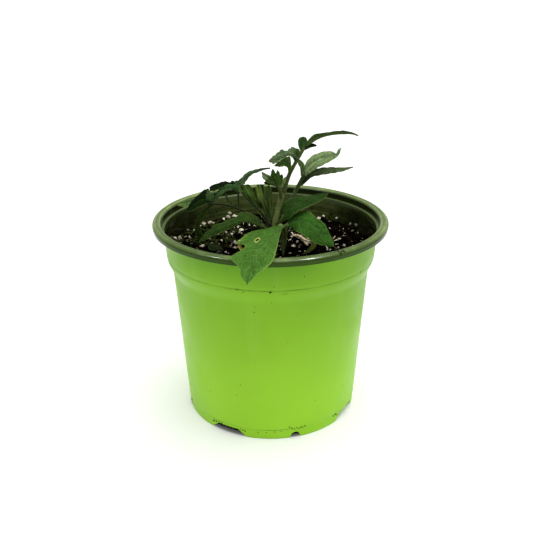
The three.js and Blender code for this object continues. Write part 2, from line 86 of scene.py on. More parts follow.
def pixel_ray(pixel_x, pixel_y):
    """Directions in which the camera sees pixels: the offset from the axis, turned by the roll."""
    across = np.asarray(pixel_x, float) - AXIS_PIXEL[0]
    down = np.asarray(pixel_y, float) - AXIS_PIXEL[1]
    cosine, sine = math.cos(CAMERA_ROLL), math.sin(CAMERA_ROLL)
    right = across * cosine - down * sine
    fall = across * sine + down * cosine
    ahead = np.array([0, math.cos(CAMERA_DIP), -math.sin(CAMERA_DIP)])
    upward = np.array([0, math.sin(CAMERA_DIP), math.cos(CAMERA_DIP)])
    sideways = np.array([1.0, 0, 0])
    return ahead * FOCAL_PIXELS + right[..., None] * sideways - fall[..., None] * upward


def pixels_of(places):
    """Where in the picture the camera sees places: pixel_ray the other way round."""
    offset = places - CAMERA_PLACE
    dip_cosine, dip_sine = math.cos(CAMERA_DIP), math.sin(CAMERA_DIP)
    ahead = offset[..., 1] * dip_cosine - offset[..., 2] * dip_sine
    fall = -(offset[..., 1] * dip_sine + offset[..., 2] * dip_cosine) * FOCAL_PIXELS / ahead
    right = offset[..., 0] * FOCAL_PIXELS / ahead
    cosine, sine = math.cos(CAMERA_ROLL), math.sin(CAMERA_ROLL)
    return np.stack([right * cosine + fall * sine, fall * cosine - right * sine], -1) + AXIS_PIXEL


def pixel_at_height(pixel_x, pixel_y, height):
    """Where the sight lines of pixels cross a level plane."""
    ray = pixel_ray(pixel_x, pixel_y)
    reach = (np.asarray(height, float) - CAMERA_PLACE[2]) / ray[..., 2]
    return CAMERA_PLACE + ray * reach[..., None]


# %% [markdown]
# ## Small tools for shapes
#
# Every surface here is a whole array of places worked out at once. These helpers do the common
# steps: soft steps and smooth noise, a smooth line through a few points, and the step from
# arrays of places and faces to a Blender mesh.

# %% Numbers and noise
def unit(vectors):
    """Each vector divided by its own length."""
    return vectors / np.maximum(np.linalg.norm(vectors, axis=-1, keepdims=True), 1e-12)


def soft_step(low, high, value):
    """0 below low, 1 above high, and 3t^2 - 2t^3 of the share t between them."""
    share = np.clip((value - low) / (high - low), 0, 1)
    return share * share * (3 - 2 * share)


def turns(count):
    """Angles of evenly spread spots round a circle."""
    return np.linspace(0, 2 * math.pi, count, endpoint=False)


def on_circle(angle, radius):
    """Spots at angles on circles round the origin."""
    return np.stack([radius * np.cos(angle), radius * np.sin(angle)], -1)


HASH_STEPS = np.array([127.1, 311.7, 74.7])  # unrelated numbers that scatter the random values
HASH_SEED_STEP = 17.3
HASH_SCALE = 43758.5453


def cell_noise(places, cell, seed=0):
    """Smooth noise from -1 to 1: a random value at each corner of a grid of cells of that size,
    blended between the corners with a soft step along each axis."""
    spots = np.asarray(places, float) / cell
    base = np.floor(spots)
    part = spots - base
    part = part * part * (3 - 2 * part)
    total = np.zeros(spots.shape[:-1])
    steps = HASH_STEPS[: spots.shape[-1]]
    for corner in np.ndindex(*(2,) * spots.shape[-1]):
        shift = np.array(corner)
        hashed = np.sin((base + shift) @ steps + seed * HASH_SEED_STEP) * HASH_SCALE
        value = 2 * (hashed - np.floor(hashed)) - 1
        total = total + value * np.prod(np.where(shift == 1, part, 1 - part), axis=-1)
    return total


# %% Smooth lines
NEARBY = 0.01  # share of a line's length over which its direction is measured


class Line:
    """A smooth line through a few points, measured along its own length.

    It is a centripetal Catmull-Rom curve: each stretch is a cubic in t whose slopes at both
    ends come from the neighbouring points, spaced by the square roots of their distances."""

    def __init__(self, points, steps=24):
        points = np.asarray(points, float)
        first = 2 * points[0] - points[1]
        last = 2 * points[-1] - points[-2]
        knots = np.vstack([first, points, last])
        count = len(points) - 1
        p0, p1, p2, p3 = (knots[i : i + count] for i in range(4))
        roots = np.sqrt(np.linalg.norm(np.diff(knots, axis=0), axis=1))[:, None]
        d0, d1, d2 = (roots[i : i + count] for i in range(3))
        start = ((p1 - p0) / d0 - (p2 - p0) / (d0 + d1) + (p2 - p1) / d1) * d1
        end = ((p2 - p1) / d1 - (p3 - p1) / (d1 + d2) + (p3 - p2) / d2) * d1
        t = np.linspace(0, 1, steps, endpoint=False)[None, :, None]
        cubic = (2 * p1 - 2 * p2 + start + end)[:, None] * t**3
        square = (-3 * p1 + 3 * p2 - 2 * start - end)[:, None] * t**2
        spots = cubic + square + start[:, None] * t + p1[:, None]
        self.spots = np.vstack([spots.reshape(-1, 3), points[-1]])
        gaps = np.linalg.norm(np.diff(self.spots, axis=0), axis=1)
        self.travel = np.concatenate([[0], np.cumsum(gaps)])
        self.length = self.travel[-1]

    def place(self, share):
        """Places at shares of the length."""
        travel = np.asarray(share, float) * self.length
        return np.stack([np.interp(travel, self.travel, self.spots[:, i]) for i in range(3)], -1)

    def forward(self, share):
        """Unit directions at shares of the length, from places a little before and after."""
        share = np.asarray(share, float)
        ahead = self.place(np.minimum(share + NEARBY, 1))
        return unit(ahead - self.place(np.maximum(share - NEARBY, 0)))


# %% Grids of places
def grid_faces(rows, columns, closed=False):
    """Four-cornered faces of a grid of places; closed joins its last column to its first."""
    low = np.arange(rows - 1)[:, None] * columns
    column = np.arange(columns if closed else columns - 1)[None, :]
    after = (column + 1) % columns
    high = low + columns
    corners = [low + column, low + after, high + after, high + column]
    return np.stack(corners, -1).reshape(-1, 4)


def shape(places, faces, paint=0, **values):
    """A patch of surface: places, blocks of faces, the paint number of all of them or of each
    block, and values at its places."""
    places = np.asarray(places, float).reshape(-1, 3)
    return {"places": places, "faces": faces, "paint": paint, "values": values}


# %% From shapes to a mesh object
PLAIN_GREY = (0.5, 0.5, 0.5, 1.0)


def build(name, shapes, materials, replaced=(), uv=None):
    """Joins shapes into one mesh object in metres, with its values as attributes on its places,
    puts it on the body, gives it its finishes, and hides the CAD nodes that it replaces."""
    counts = [len(s["places"]) for s in shapes]
    places = np.vstack([s["places"] for s in shapes]) * MM
    faces = []
    paints = []
    for start, piece in zip(np.cumsum([0, *counts]), shapes):
        block_paints = np.broadcast_to(piece["paint"], len(piece["faces"]))
        for block, paint in zip(piece["faces"], block_paints):
            faces.extend((np.asarray(block) + start).tolist())
            paints.extend([paint] * len(block))
    mesh = bpy.data.meshes.new(name)
    mesh.from_pydata(places.tolist(), [], faces)
    for material in materials:
        mesh.materials.append(material)
    mesh.polygons.foreach_set("material_index", np.array(paints, np.int32))
    mesh.polygons.foreach_set("use_smooth", np.ones(len(paints), bool))
    keys = {key for s in shapes for key in s["values"]}
    for key in sorted(keys - {"chart", "colour"}):
        column = [np.broadcast_to(s["values"].get(key, 0), n) for s, n in zip(shapes, counts)]
        attribute = mesh.attributes.new(key, "FLOAT", "POINT")
        attribute.data.foreach_set("value", np.concatenate(column).astype(np.float32))
    if "colour" in keys:
        colours = [s["values"].get("colour", PLAIN_GREY) for s in shapes]
        column = [np.broadcast_to(colour, (n, 4)) for colour, n in zip(colours, counts)]
        attribute = mesh.attributes.new("colour", "FLOAT_COLOR", "POINT")
        attribute.data.foreach_set("color", np.concatenate(column).astype(np.float32).ravel())
    if uv:
        charts = [s["values"].get("chart", np.zeros((n, 2))) for s, n in zip(shapes, counts)]
        corners = np.zeros(len(mesh.loops), np.int32)
        mesh.loops.foreach_get("vertex_index", corners)
        layer = mesh.uv_layers.new(name=uv)
        layer.data.foreach_set("uv", np.vstack(charts)[corners].astype(np.float32).ravel())
    mesh.update()
    piece = bpy.data.objects.new(name, mesh)
    bpy.context.scene.collection.objects.link(piece)
    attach(piece, "root")
    if replaced:
        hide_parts(*replaced)
    print(f"{name}: {len(places)} places, {len(faces)} faces")
    return piece


# %% [markdown]
# ## Small tools for finishes
#
# Every material is a Principled shader with nodes in front of it. A colour is written as
# display numbers from 0 to 255 and turned into the linear values that Blender wants. Two
# effects come back in many materials, so each is a node group: an uneven tone, and a scatter
# of specks.

# %% Colours and nodes
def tone(red, green, blue):
    """A linear colour from 0 to 255 display values: each is lifted to the power of about 2.4."""
    values = np.array([red, green, blue]) / 255
    linear = np.where(values <= 0.04045, values / 12.92, ((values + 0.055) / 1.055) ** 2.4)
    return (*linear.tolist(), 1.0)


class Board:
    """A node tree with short calls for adding nodes and joining sockets."""

    def __init__(self, tree):
        self.tree = tree

    def add(self, kind, inputs=None, **settings):
        """A new node with its settings, and with its inputs set to values or joined to sockets."""
        node = self.tree.nodes.new(kind)
        for key, value in settings.items():
            setattr(node, key, value)
        for key, value in (inputs or {}).items():
            self.feed(node.inputs[key], value)
        return node

    def feed(self, socket, value):
        """Joins a socket to another one, or gives it a plain value."""
        if isinstance(value, bpy.types.NodeSocket):
            self.tree.links.new(value, socket)
        else:
            socket.default_value = value

    def mix(self, share, low, high, amount=None):
        """A colour between two colours, where the share may be weakened to an amount of itself."""
        node = self.add("ShaderNodeMix", data_type="RGBA")
        self.feed(node.inputs[0], share if amount is None else self.times(share, amount))
        self.feed(node.inputs[6], low)
        self.feed(node.inputs[7], high)
        return node.outputs[2]

    def math(self, operation, first, second=0.0):
        """One sum on two numbers."""
        node = self.add("ShaderNodeMath", operation=operation)
        self.feed(node.inputs[0], first)
        self.feed(node.inputs[1], second)
        return node.outputs[0]

    def times(self, first, *others):
        """The product of two or more numbers."""
        for other in others:
            first = self.math("MULTIPLY", first, other)
        return first

    def ramp(self, value, low, high, to_low=0.0, to_high=1.0):
        """A soft step of a number from one range to another."""
        node = self.add("ShaderNodeMapRange", interpolation_type="SMOOTHSTEP")
        for socket, given in zip(node.inputs, (value, low, high, to_low, to_high)):
            self.feed(socket, given)
        return node.outputs[0]

    def place(self):
        """The Object coordinates of the spot that is shaded."""
        return self.add("ShaderNodeTexCoord").outputs["Object"]

    def parts(self, vector):
        """The three parts of a vector."""
        return self.add("ShaderNodeSeparateXYZ", {"Vector": vector}).outputs

    def length(self, vector):
        """The length of a vector."""
        node = self.add("ShaderNodeVectorMath", {0: vector}, operation="LENGTH")
        return node.outputs["Value"]

    def stored(self, name, output="Fac"):
        """A value or colour that is stored on the places of the mesh."""
        return self.add("ShaderNodeAttribute", attribute_name=name).outputs[output]

    def retoned(self, colour, saturation=1.0, value=1.0):
        """A colour made greyer or fuller, and darker or lighter."""
        settings = {"Color": colour, "Saturation": saturation, "Value": value}
        return self.add("ShaderNodeHueSaturation", settings).outputs[0]

    def bump(self, shader, height, strength, distance):
        """Relief on a shader's surface, from a height and the depth in metres that it spans."""
        settings = {"Height": height, "Strength": strength, "Distance": distance}
        relief = self.add("ShaderNodeBump", settings)
        self.feed(shader.inputs["Normal"], relief.outputs[0])
        return relief

    def noise(self, scale, detail=3.0, stretch=None, roughness=0.55):
        """Noise on Object coordinates, squeezed along the axes by stretch."""
        place = self.place()
        if stretch:
            place = self.add("ShaderNodeMapping", {"Vector": place, "Scale": stretch}).outputs[0]
        settings = {"Vector": place, "Scale": scale, "Detail": detail, "Roughness": roughness}
        return self.add("ShaderNodeTexNoise", settings).outputs[0]


# %% New groups and materials
def new_group(name, inputs, outputs):
    """An empty node group with its sockets, and the board, inputs and output node to fill it."""
    tree = bpy.data.node_groups.new(name, "ShaderNodeTree")
    for label, kind, start in inputs:
        socket = tree.interface.new_socket(name=label, in_out="INPUT", socket_type=kind)
        socket.default_value = start
    for label, kind in outputs:
        tree.interface.new_socket(name=label, in_out="OUTPUT", socket_type=kind)
    board = Board(tree)
    given = board.add("NodeGroupInput").outputs
    result = board.add("NodeGroupOutput").inputs
    return tree, board, given, result


def new_material(name, roughness, gloss):
    """A material with a Principled shader; gloss is how strongly it mirrors at right angles."""
    material = bpy.data.materials.new(name)
    material.use_nodes = True
    board = Board(material.node_tree)
    shader = material.node_tree.nodes["Principled BSDF"]
    shader.inputs["Roughness"].default_value = roughness
    shader.inputs["Specular IOR Level"].default_value = gloss
    return material, board, shader


# %% Shared effects
COLOUR = "NodeSocketColor"
NUMBER = "NodeSocketFloat"

uneven, board, given, result = new_group(
    "uneven_tone",
    [("Color", COLOUR, (0.5, 0.5, 0.5, 1)), ("Scale", NUMBER, 100.0), ("Strength", NUMBER, 0.2)],
    [("Color", COLOUR)],
)
patches = board.noise(given["Scale"], detail=4.0)
swing = board.math("SUBTRACT", board.ramp(patches, 0.3, 0.7), 0.5)
value = board.math("ADD", board.times(swing, given["Strength"]), 1.0)
board.feed(result["Color"], board.retoned(given["Color"], value=value))

specks, board, given, result = new_group(
    "specks",
    [("Scale", NUMBER, 300.0), ("Size", NUMBER, 0.2), ("Share", NUMBER, 0.5)],
    [("Mask", NUMBER)],
)
cells = board.add("ShaderNodeTexVoronoi", {"Vector": board.place(), "Scale": given["Scale"]})
near = board.ramp(cells.outputs["Distance"], given["Size"], 0.0)
chosen = board.add("ShaderNodeSeparateColor", {"Color": cells.outputs["Color"]}).outputs[0]
kept = board.math("LESS_THAN", chosen, given["Share"])
board.feed(result["Mask"], board.times(near, kept))


def use(board, group, **inputs):
    """Places a shared effect in a material, with its own values."""
    node = board.add("ShaderNodeGroup", node_tree=group)
    for key, value in inputs.items():
        board.feed(node.inputs[key], value)
    return node.outputs


def unevenly(board, colour, scale, strength):
    """A colour in lighter and darker patches."""
    return use(board, uneven, Color=colour, Scale=scale, Strength=strength)["Color"]


def specked(board, scale, size, share):
    """A mask of specks: how fine they are, how large in their cells, and in what share of them."""
    return use(board, specks, Scale=scale, Size=size, Share=share)["Mask"]


print("shared effects:", uneven.name, specks.name)

# %% [markdown]
# ## The pot
#
# The real pot is blown from one thin sheet with two skins, lime outside and dark olive inside.
# Its lip is rolled outwards, so the olive skin shows on the roll, and lime starts below it. The
# whole pot is one profile turned round the axis. Rounded corners are short arcs put into the
# profile. The foot ring is the exception: its lower edge rises and falls round the pot, which
# makes the wide notches and the small round ones.

# %% Sizes of the pot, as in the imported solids
LIP_RADIUS = 57.0
MOUTH_RADIUS = 52.6
HEIGHT = 100.0
SKIN = 1.0
ROLL_RISE = 1.7
SKIRT_HEIGHT = HEIGHT - 3.3
LEDGE_HEIGHT = 95.7
FOOT_RADIUS = 43.9
FOOT_HEIGHT = 4.8
FLOOR_UNDERSIDE = 3.8
FLOOR_TOP = 4.8
FLOOR_FILLET = 0.8
PAD_RADIUS = 6.0
NOTCH = {"count": 4, "turn": -29.5, "foot": 20.2, "crown": 11.2, "height": 3.7}
SMALL_NOTCH = {"count": 4, "turn": 15.5, "width": 5.0, "height": 3.0}
DRAIN = {"count": 4, "turn": 15.5, "radius": 3.5, "ring": 28.0}


def around(angle, feature):
    """Signed distance along the foot ring to the nearest of a row of like features."""
    step = 360 / feature["count"]
    turned = (angle - feature["turn"] + step / 2) % step - step / 2
    return np.radians(turned) * FOOT_RADIUS


def foot_edge(angle):
    """Height of the foot ring's lower edge: a sloped trapezoid at each wide notch, and half an
    ellipse at each small one."""
    from_wide = np.abs(around(angle, NOTCH))
    slope = NOTCH["height"] / (NOTCH["foot"] - NOTCH["crown"]) * 2
    wide = np.clip((NOTCH["foot"] / 2 - from_wide) * slope, 0, NOTCH["height"])
    across = around(angle, SMALL_NOTCH) / (SMALL_NOTCH["width"] / 2)
    small = SMALL_NOTCH["height"] * np.sqrt(np.clip(1 - across**2, 0, 1))
    return np.maximum(wide, small)


# %% Tools for the profile
def rounded(corners, steps=6):
    """A profile whose corners, given as (radius, height, rounding), become arcs: each corner is
    cut back by its rounding on both sides and joined by a quadratic curve."""
    points = np.array([c[:2] for c in corners], float)
    found = []
    for i, (_, _, cut) in enumerate(corners):
        if cut == 0:
            found.append(points[i][None])
            continue
        before = unit(points[i - 1] - points[i]) * cut + points[i]
        after = unit(points[i + 1] - points[i]) * cut + points[i]
        t = np.linspace(0, 1, steps + 1)[:, None]
        found.append(before * (1 - t) ** 2 + points[i] * 2 * t * (1 - t) + after * t**2)
    return np.vstack(found)


def filled_in(profile, longest):
    """The same profile with long stretches divided, so that no step is longer than asked."""
    gaps = np.linalg.norm(np.diff(profile, axis=0), axis=1)
    pieces = np.maximum(1, np.ceil(gaps / longest)).astype(int)
    where = np.concatenate([i + np.arange(n) / n for i, n in enumerate(pieces)] + [[len(gaps)]])
    marks = np.arange(len(profile))
    return np.stack([np.interp(where, marks, profile[:, k]) for k in range(2)], -1)


def half_ring(centre, half_width, half_height, start, stop, steps):
    """Places on an upright ellipse between two angles in degrees, with no rounding."""
    angle = np.radians(np.linspace(start, stop, steps + 1))
    radii = centre[0] + half_width * np.cos(angle)
    heights = centre[1] + half_height * np.sin(angle)
    return [(r, h, 0) for r, h in zip(radii, heights)]


# %% Corners of the profile
INNER_WALL = ((50.8, 93.7, 0.6), (50.0, 82.6, 0.8), (47.5, 77.1, 1.2), (43.3, 6.8, 1.4))
ROLL_CENTRE = ((LIP_RADIUS + MOUTH_RADIUS) / 2, HEIGHT - ROLL_RISE)
ROLL_HALF = (LIP_RADIUS - MOUTH_RADIUS) / 2
outside = [
    (FOOT_RADIUS, FOOT_HEIGHT, 0),
    (44.25, 5.3, 0.2),
    (48.45, 76.2, 1.4),
    (50.8, 81.2, 1.4),
    (51.04, 82.85, 0),
    (50.93, 83.2, 0),
    (51.09, 83.55, 0),
    (52.0, 95.2, 0.6),
    (MOUTH_RADIUS + SKIN, LEDGE_HEIGHT + 0.5, 0),
]
lip = [
    *half_ring(ROLL_CENTRE, ROLL_HALF - SKIN, ROLL_RISE - SKIN, 180, 0, 8),
    (LIP_RADIUS - SKIN, SKIRT_HEIGHT, 0.1),
    (LIP_RADIUS - 0.15, SKIRT_HEIGHT, 0.15),
    *half_ring(ROLL_CENTRE, ROLL_HALF, ROLL_RISE, -8, 180, 18),
    (MOUTH_RADIUS, LEDGE_HEIGHT + 0.2, 0.3),
    (51.4, LEDGE_HEIGHT, 0.3),
    *INNER_WALL,
    (41.3, FLOOR_TOP, 1.0),
    (0.5, FLOOR_TOP, 0),
]
underside = [
    (0.5, 0.0, 0),
    (PAD_RADIUS, 0.0, 0.4),
    (PAD_RADIUS + 0.6, FLOOR_UNDERSIDE, 0.5),
    (FOOT_RADIUS - SKIN - FLOOR_FILLET, FLOOR_UNDERSIDE, 0),
]
WALL_STEP = 2.4  # longest step along the wall's profile
FLOOR_STEP = 6.0
outside_rows = filled_in(rounded(outside), WALL_STEP)
lip_rows = filled_in(rounded(lip), WALL_STEP)
underside_rows = filled_in(rounded(underside), FLOOR_STEP)
print("profile rows:", len(outside_rows), len(lip_rows), len(underside_rows))

# %% Where the columns of places stand
COLUMN_STEP = 1.5  # degrees between the columns of places

small_share = np.sin(np.linspace(-1, 1, 23) * math.pi / 2)
small_step = np.degrees(SMALL_NOTCH["width"] / 2 / FOOT_RADIUS) * small_share
wide_corners = np.array([-NOTCH["foot"], -NOTCH["crown"], NOTCH["crown"], NOTCH["foot"]])
wide_step = np.degrees(wide_corners / 2 / FOOT_RADIUS)
quarters = 90.0 * np.arange(4)[:, None]
angles = np.concatenate([
    np.arange(0, 360, COLUMN_STEP),
    (SMALL_NOTCH["turn"] + quarters + small_step).ravel() % 360,
    (NOTCH["turn"] + quarters + wide_step).ravel() % 360,
])
angles = np.unique(np.round(angles, 3))
edge = foot_edge(angles)
print("columns of places:", len(angles))


# %% Rows of places along the profile
def ring_rows(radius_of, low, high, rows):
    """Rows of the foot ring between two heights that may differ round the pot."""
    share = np.linspace(0, 1, rows)[:, None]
    heights = low + (high - low) * share
    return np.stack([radius_of(heights), heights], -1)


def outer_radius(height):
    """The ring's outer side is upright."""
    return np.full_like(height, FOOT_RADIUS)


def inner_radius(height):
    """The ring's inner side is upright below, and a quarter circle into the floor above."""
    up = np.clip((height - (FLOOR_UNDERSIDE - FLOOR_FILLET)) / FLOOR_FILLET, 0, 1)
    return FOOT_RADIUS - SKIN - FLOOR_FILLET * (1 - np.sqrt(1 - up**2))


def wall_radius(height):
    """Radius of the wall's inner side, from the corners of its profile."""
    corners = np.array(INNER_WALL)[::-1]
    return np.interp(height, corners[:, 1], corners[:, 0])


def full_rows(profile):
    """A fixed profile repeated for every angle."""
    return np.broadcast_to(profile[:, None, :], (len(profile), len(angles), 2))


RING_ROWS = 7
rows = np.concatenate([
    full_rows(underside_rows),
    ring_rows(inner_radius, np.full_like(edge, FLOOR_UNDERSIDE), edge, RING_ROWS)[1:],
    ring_rows(outer_radius, edge, np.full_like(edge, FOOT_HEIGHT), RING_ROWS)[:-1],
    full_rows(outside_rows),
    full_rows(lip_rows),
])
print("rows of places:", len(rows))

# %% Turn the profile into the pot
theta = np.radians(angles - 90)
places = np.concatenate([on_circle(theta, rows[..., 0]), rows[..., 1:]], -1)

# A blown skin is never quite round: slow waves, some along the wall and some round it.
WALL_WAVE = 0.16
wall = soft_step(8, 20, places[..., 2]) * soft_step(99, 84, places[..., 2]) * (rows[..., 0] > 40)
waves = cell_noise(places * np.array([1, 1, 0.45]), 17, seed=3)
places[..., :2] += on_circle(theta, WALL_WAVE * wall * waves)
print("pot grid:", places.shape[:2])


# %% Faces of the pot
def turned_faces(row_count, column_count):
    """Faces of a shape turned round the axis, from pole to pole: four corners along the rows,
    and a fan of triangles at each end."""
    middle = grid_faces(row_count, column_count, closed=True)
    column = np.arange(column_count)
    after = (column + 1) % column_count
    last = (row_count - 1) * column_count
    low_pole = row_count * column_count
    first_fan = np.stack([after, column, np.full(column_count, low_pole)], -1)
    last_fan = np.stack([last + column, last + after, np.full(column_count, low_pole + 1)], -1)
    return middle, first_fan, last_fan


LIME_ROWS = len(underside_rows) + 2 * (RING_ROWS - 1) + len(outside_rows)
middle, first_fan, last_fan = turned_faces(*places.shape[:2])
poles = np.array([[0, 0, 0.0], [0, 0, FLOOR_TOP]])
lime_faces = middle[: (LIME_ROWS - 1) * len(angles)]
olive_faces = middle[(LIME_ROWS - 1) * len(angles) :]
pot_places = np.vstack([places.reshape(-1, 3), poles])
print("lime faces:", len(lime_faces), "olive faces:", len(olive_faces))

# %% [markdown]
# The two plastics differ in more than colour. The lime skin is softly glossy and scuffed, with
# specks of soil and with dark lines, partly dirt and partly painted shade, in the crease at the
# foot of the collar, above the foot ring and under the lip. Its green is painted lighter towards
# the foot, where the floor lights it, and painted darker under the lip as shade. The olive skin
# is darker and smoother, so the lip throws back sharp streaks of light. Dust greys it in places,
# and it is painted lighter as light on the inside at the back and as a reflection of the white
# surroundings on the rim at the back and the sides.

# %% Lime plastic
LIME_LIT_FOOT = tone(148, 205, 36)
LIME_TOP = tone(116, 169, 19)
LIME_SHADED = tone(84, 140, 0)
LIME_SCUFFED = tone(180, 212, 110)
LIME_DIRT_AND_SHADE = tone(38, 62, 14)
CREASES = (  # height, half width and strength of each dark line of dirt and painted shade
    (83.2, 0.4, 0.9),
    (5.2, 0.42, 1.0),
    (96.2, 0.6, 0.5),
)

lime, board, shader = new_material("lime_plastic", 0.45, gloss=0.22)
x, _, z = board.parts(board.place())
# Painted light: the green is lighter towards the foot, where light from the floor falls on the wall.
green = board.mix(board.ramp(z, 0.004, 0.096), LIME_LIT_FOOT, LIME_TOP)
# Painted shade under the lip: strong at the front and faint towards the sides, where the collar is
# painted lighter.
to_the_side = board.math("ABSOLUTE", board.math("ADD", x, 0.010))
shade_strength = board.ramp(to_the_side, 0.018, 0.042, 0.7, 0.05)
painted_lip_shade = board.times(board.ramp(z, 0.082, 0.0965), shade_strength)
green = board.mix(painted_lip_shade, green, LIME_SHADED)
green = unevenly(board, green, 22.0, 0.08)
streaks = board.ramp(board.noise(90.0, stretch=(1, 1, 0.12)), 0.52, 0.72)
green = board.mix(streaks, green, LIME_SCUFFED, 0.06)
# Dark lines in the creases at the collar's foot, above the foot ring and under the lip: partly dirt,
# partly painted shade.
dirt_and_shade = 0.0
for crease, half_width, strength in CREASES:
    off = board.math("ABSOLUTE", board.math("SUBTRACT", z, crease * MM))
    band = board.ramp(off, half_width * MM, 0.0)
    blotches = board.noise(40.0 + crease / 4, detail=6.0)
    patchy = board.ramp(blotches, 0.42, 0.62, strength / 4, strength)
    patchy = board.times(patchy, board.ramp(x, -0.005, 0.03, 1.0, 0.4))
    dirt_and_shade = board.math("MAXIMUM", board.times(band, patchy), dirt_and_shade)
fine_dirt = specked(board, 420.0, 0.22, 0.012)
dirt_and_shade = board.math("MAXIMUM", dirt_and_shade, board.times(fine_dirt, 0.8))
board.feed(shader.inputs["Base Color"], board.mix(dirt_and_shade, green, LIME_DIRT_AND_SHADE))
board.feed(shader.inputs["Roughness"], board.ramp(board.noise(60.0), 0.3, 0.7, 0.34, 0.5))
grain = board.math("ADD", board.times(board.noise(900.0), 0.35), board.noise(120.0))
board.bump(shader, grain, 0.06, 0.001)
print("material:", lime.name)

# %% Olive plastic
OLIVE_INSIDE = tone(31, 39, 14)
OLIVE_LIP = tone(50, 82, 6)
OLIVE_SCUFFED = tone(92, 98, 56)
OLIVE_LIT_BACK = tone(104, 118, 64)
OLIVE_DUST_AND_SHEEN = tone(148, 172, 100)
OLIVE_LINE = tone(38, 56, 14)
OLIVE_STAIN = tone(24, 18, 11)
OLIVE_SPECK = tone(30, 24, 14)

olive, board, shader = new_material("olive_plastic", 0.3, gloss=0.14)
x, y, z = board.parts(board.place())
from_axis = board.length(board.add("ShaderNodeCombineXYZ", {"X": x, "Y": y}).outputs[0])
on_lip = board.times(board.ramp(z, 0.0945, 0.0975), board.ramp(from_axis, 0.0526, 0.0536))
green = board.mix(on_lip, OLIVE_INSIDE, OLIVE_LIP)
scuffs = board.ramp(board.noise(55.0, detail=8.0, roughness=0.7), 0.5, 0.66)
scuffs = board.times(scuffs, 0.4, board.ramp(z, 0.097, 0.090))
green = board.mix(scuffs, green, OLIVE_SCUFFED)
# Painted light: the inside at the back, below the rim and round the ledge, is lighter where light
# falls on it.
painted_back_light = board.times(board.ramp(y, 0.024, 0.048), board.ramp(z, 0.0965, 0.0945))
green = board.mix(painted_back_light, green, OLIVE_LIT_BACK, 0.88)
green = unevenly(board, green, 30.0, 0.25)

# Dust lies on what faces up; the extra paleness at the back and at the sides is a painted reflection
# of the white surroundings.
facing = board.parts(board.add("ShaderNodeNewGeometry").outputs["Normal"])
lying = board.ramp(facing["Z"], 0.2, 0.95)
patches = board.ramp(board.noise(45.0, detail=6.0), 0.45, 0.75)
dust_and_sheen = board.times(board.math("ADD", board.times(patches, 0.7), 0.3), lying)
from_front = board.math("ADD", y, board.times(board.math("ABSOLUTE", x), 0.5))
painted_sheen = board.times(board.ramp(from_front, -0.035, 0.03, 0.0, 0.45), lying)
dust_and_sheen = board.math("MINIMUM", board.math("ADD", dust_and_sheen, painted_sheen), 1.0)
high = board.ramp(z, 0.0955, 0.0985, 0.65, 1.0)
green = board.mix(board.times(dust_and_sheen, high), green, OLIVE_DUST_AND_SHEEN)

# Fine rings run round the pot, because their noise knows only the radius and the height.
turned = board.add("ShaderNodeCombineXYZ", {"X": from_axis, "Z": z}).outputs[0]
rings = board.add("ShaderNodeTexNoise", {"Vector": turned, "Scale": 1000.0, "Detail": 2.0})
rings = rings.outputs[0]
green = board.mix(board.ramp(rings, 0.42, 0.60), green, OLIVE_LINE, 0.6)
stains = board.ramp(board.noise(150.0, detail=8.0, roughness=0.75), 0.36, 0.6)
low = board.ramp(z, 0.0975, 0.0855, 0.25, 1.0)
stains = board.times(stains, low, board.ramp(painted_back_light, 0.0, 1.0, 0.85, 0.4))
green = board.mix(stains, green, OLIVE_STAIN)
crumbs = specked(board, 500.0, 0.3, 0.02)
board.feed(shader.inputs["Base Color"], board.mix(crumbs, green, OLIVE_SPECK))
board.feed(shader.inputs["Roughness"], board.ramp(dust_and_sheen, 0.0, 0.6, 0.14, 0.34))
board.bump(shader, rings, 0.15, 0.0004)
print("material:", olive.name)

# %% The pot's mesh, with its drain holes cut through the floor
def finish_modifiers(piece):
    """Swaps a piece's mesh for the one that its modifiers make."""
    graph = bpy.context.evaluated_depsgraph_get()
    made = bpy.data.meshes.new_from_object(piece.evaluated_get(graph))
    piece.modifiers.clear()
    piece.data = made


pot_faces = [lime_faces, first_fan, olive_faces, last_fan]
pot = build("pot_skin", [shape(pot_places, pot_faces, [0, 0, 1, 1])], [lime, olive], ["pot"])

DRAIN_SIDES = 28
CUTTER_ENDS = (2.5, 6.0)  # heights below and above the floor
hole_angles = np.radians(DRAIN["turn"] - 90 + 90 * np.arange(DRAIN["count"]))
circle = on_circle(turns(DRAIN_SIDES), DRAIN["radius"])
cutters = []
for centre in on_circle(hole_angles, DRAIN["ring"]):
    rings = [np.column_stack([centre + circle, np.full(DRAIN_SIDES, h)]) for h in CUTTER_ENDS]
    lids = [np.arange(DRAIN_SIDES)[::-1][None], DRAIN_SIDES + np.arange(DRAIN_SIDES)[None]]
    cutters.append(shape(np.vstack(rings), [grid_faces(2, DRAIN_SIDES, closed=True), *lids]))
cutter = build("drain_cutter", cutters, [])
cut = pot.modifiers.new("drains", "BOOLEAN")
cut.operation = "DIFFERENCE"
cut.solver = "EXACT"
cut.object = cutter
finish_modifiers(pot)
bpy.data.objects.remove(cutter)
print("pot with drain holes:", len(pot.data.polygons), "faces")

# %% [markdown]
# ## The potting mix
#
# Potting mix is fine dark peat with white grains of puffed glass rock, a few splinters of bark
# and short fibres. A single bumpy sheet looks like tar, so it is built in layers, as in a real
# pot: a lumpy bed that fills the pot, crumbs that lie on it, grains sunk into it, and fibres on
# top. The largest grains lie where the photograph shows them: the sight line of each one is
# followed down to the bed. The others are strewn at random from a fixed seed.

# %% Height of the mix
MIX_LEVEL = 84.6
MIX_DISH = 1.2
MIX_WAVES = ((0.31, 0.12, 0), (-0.17, 0.23, 1), (0.52, -0.47, 0))
MIX_RADIUS = 50.05
COLLAR_RADIUS = 51.0
STEM_FOOT = np.array([2.2, -10.0])


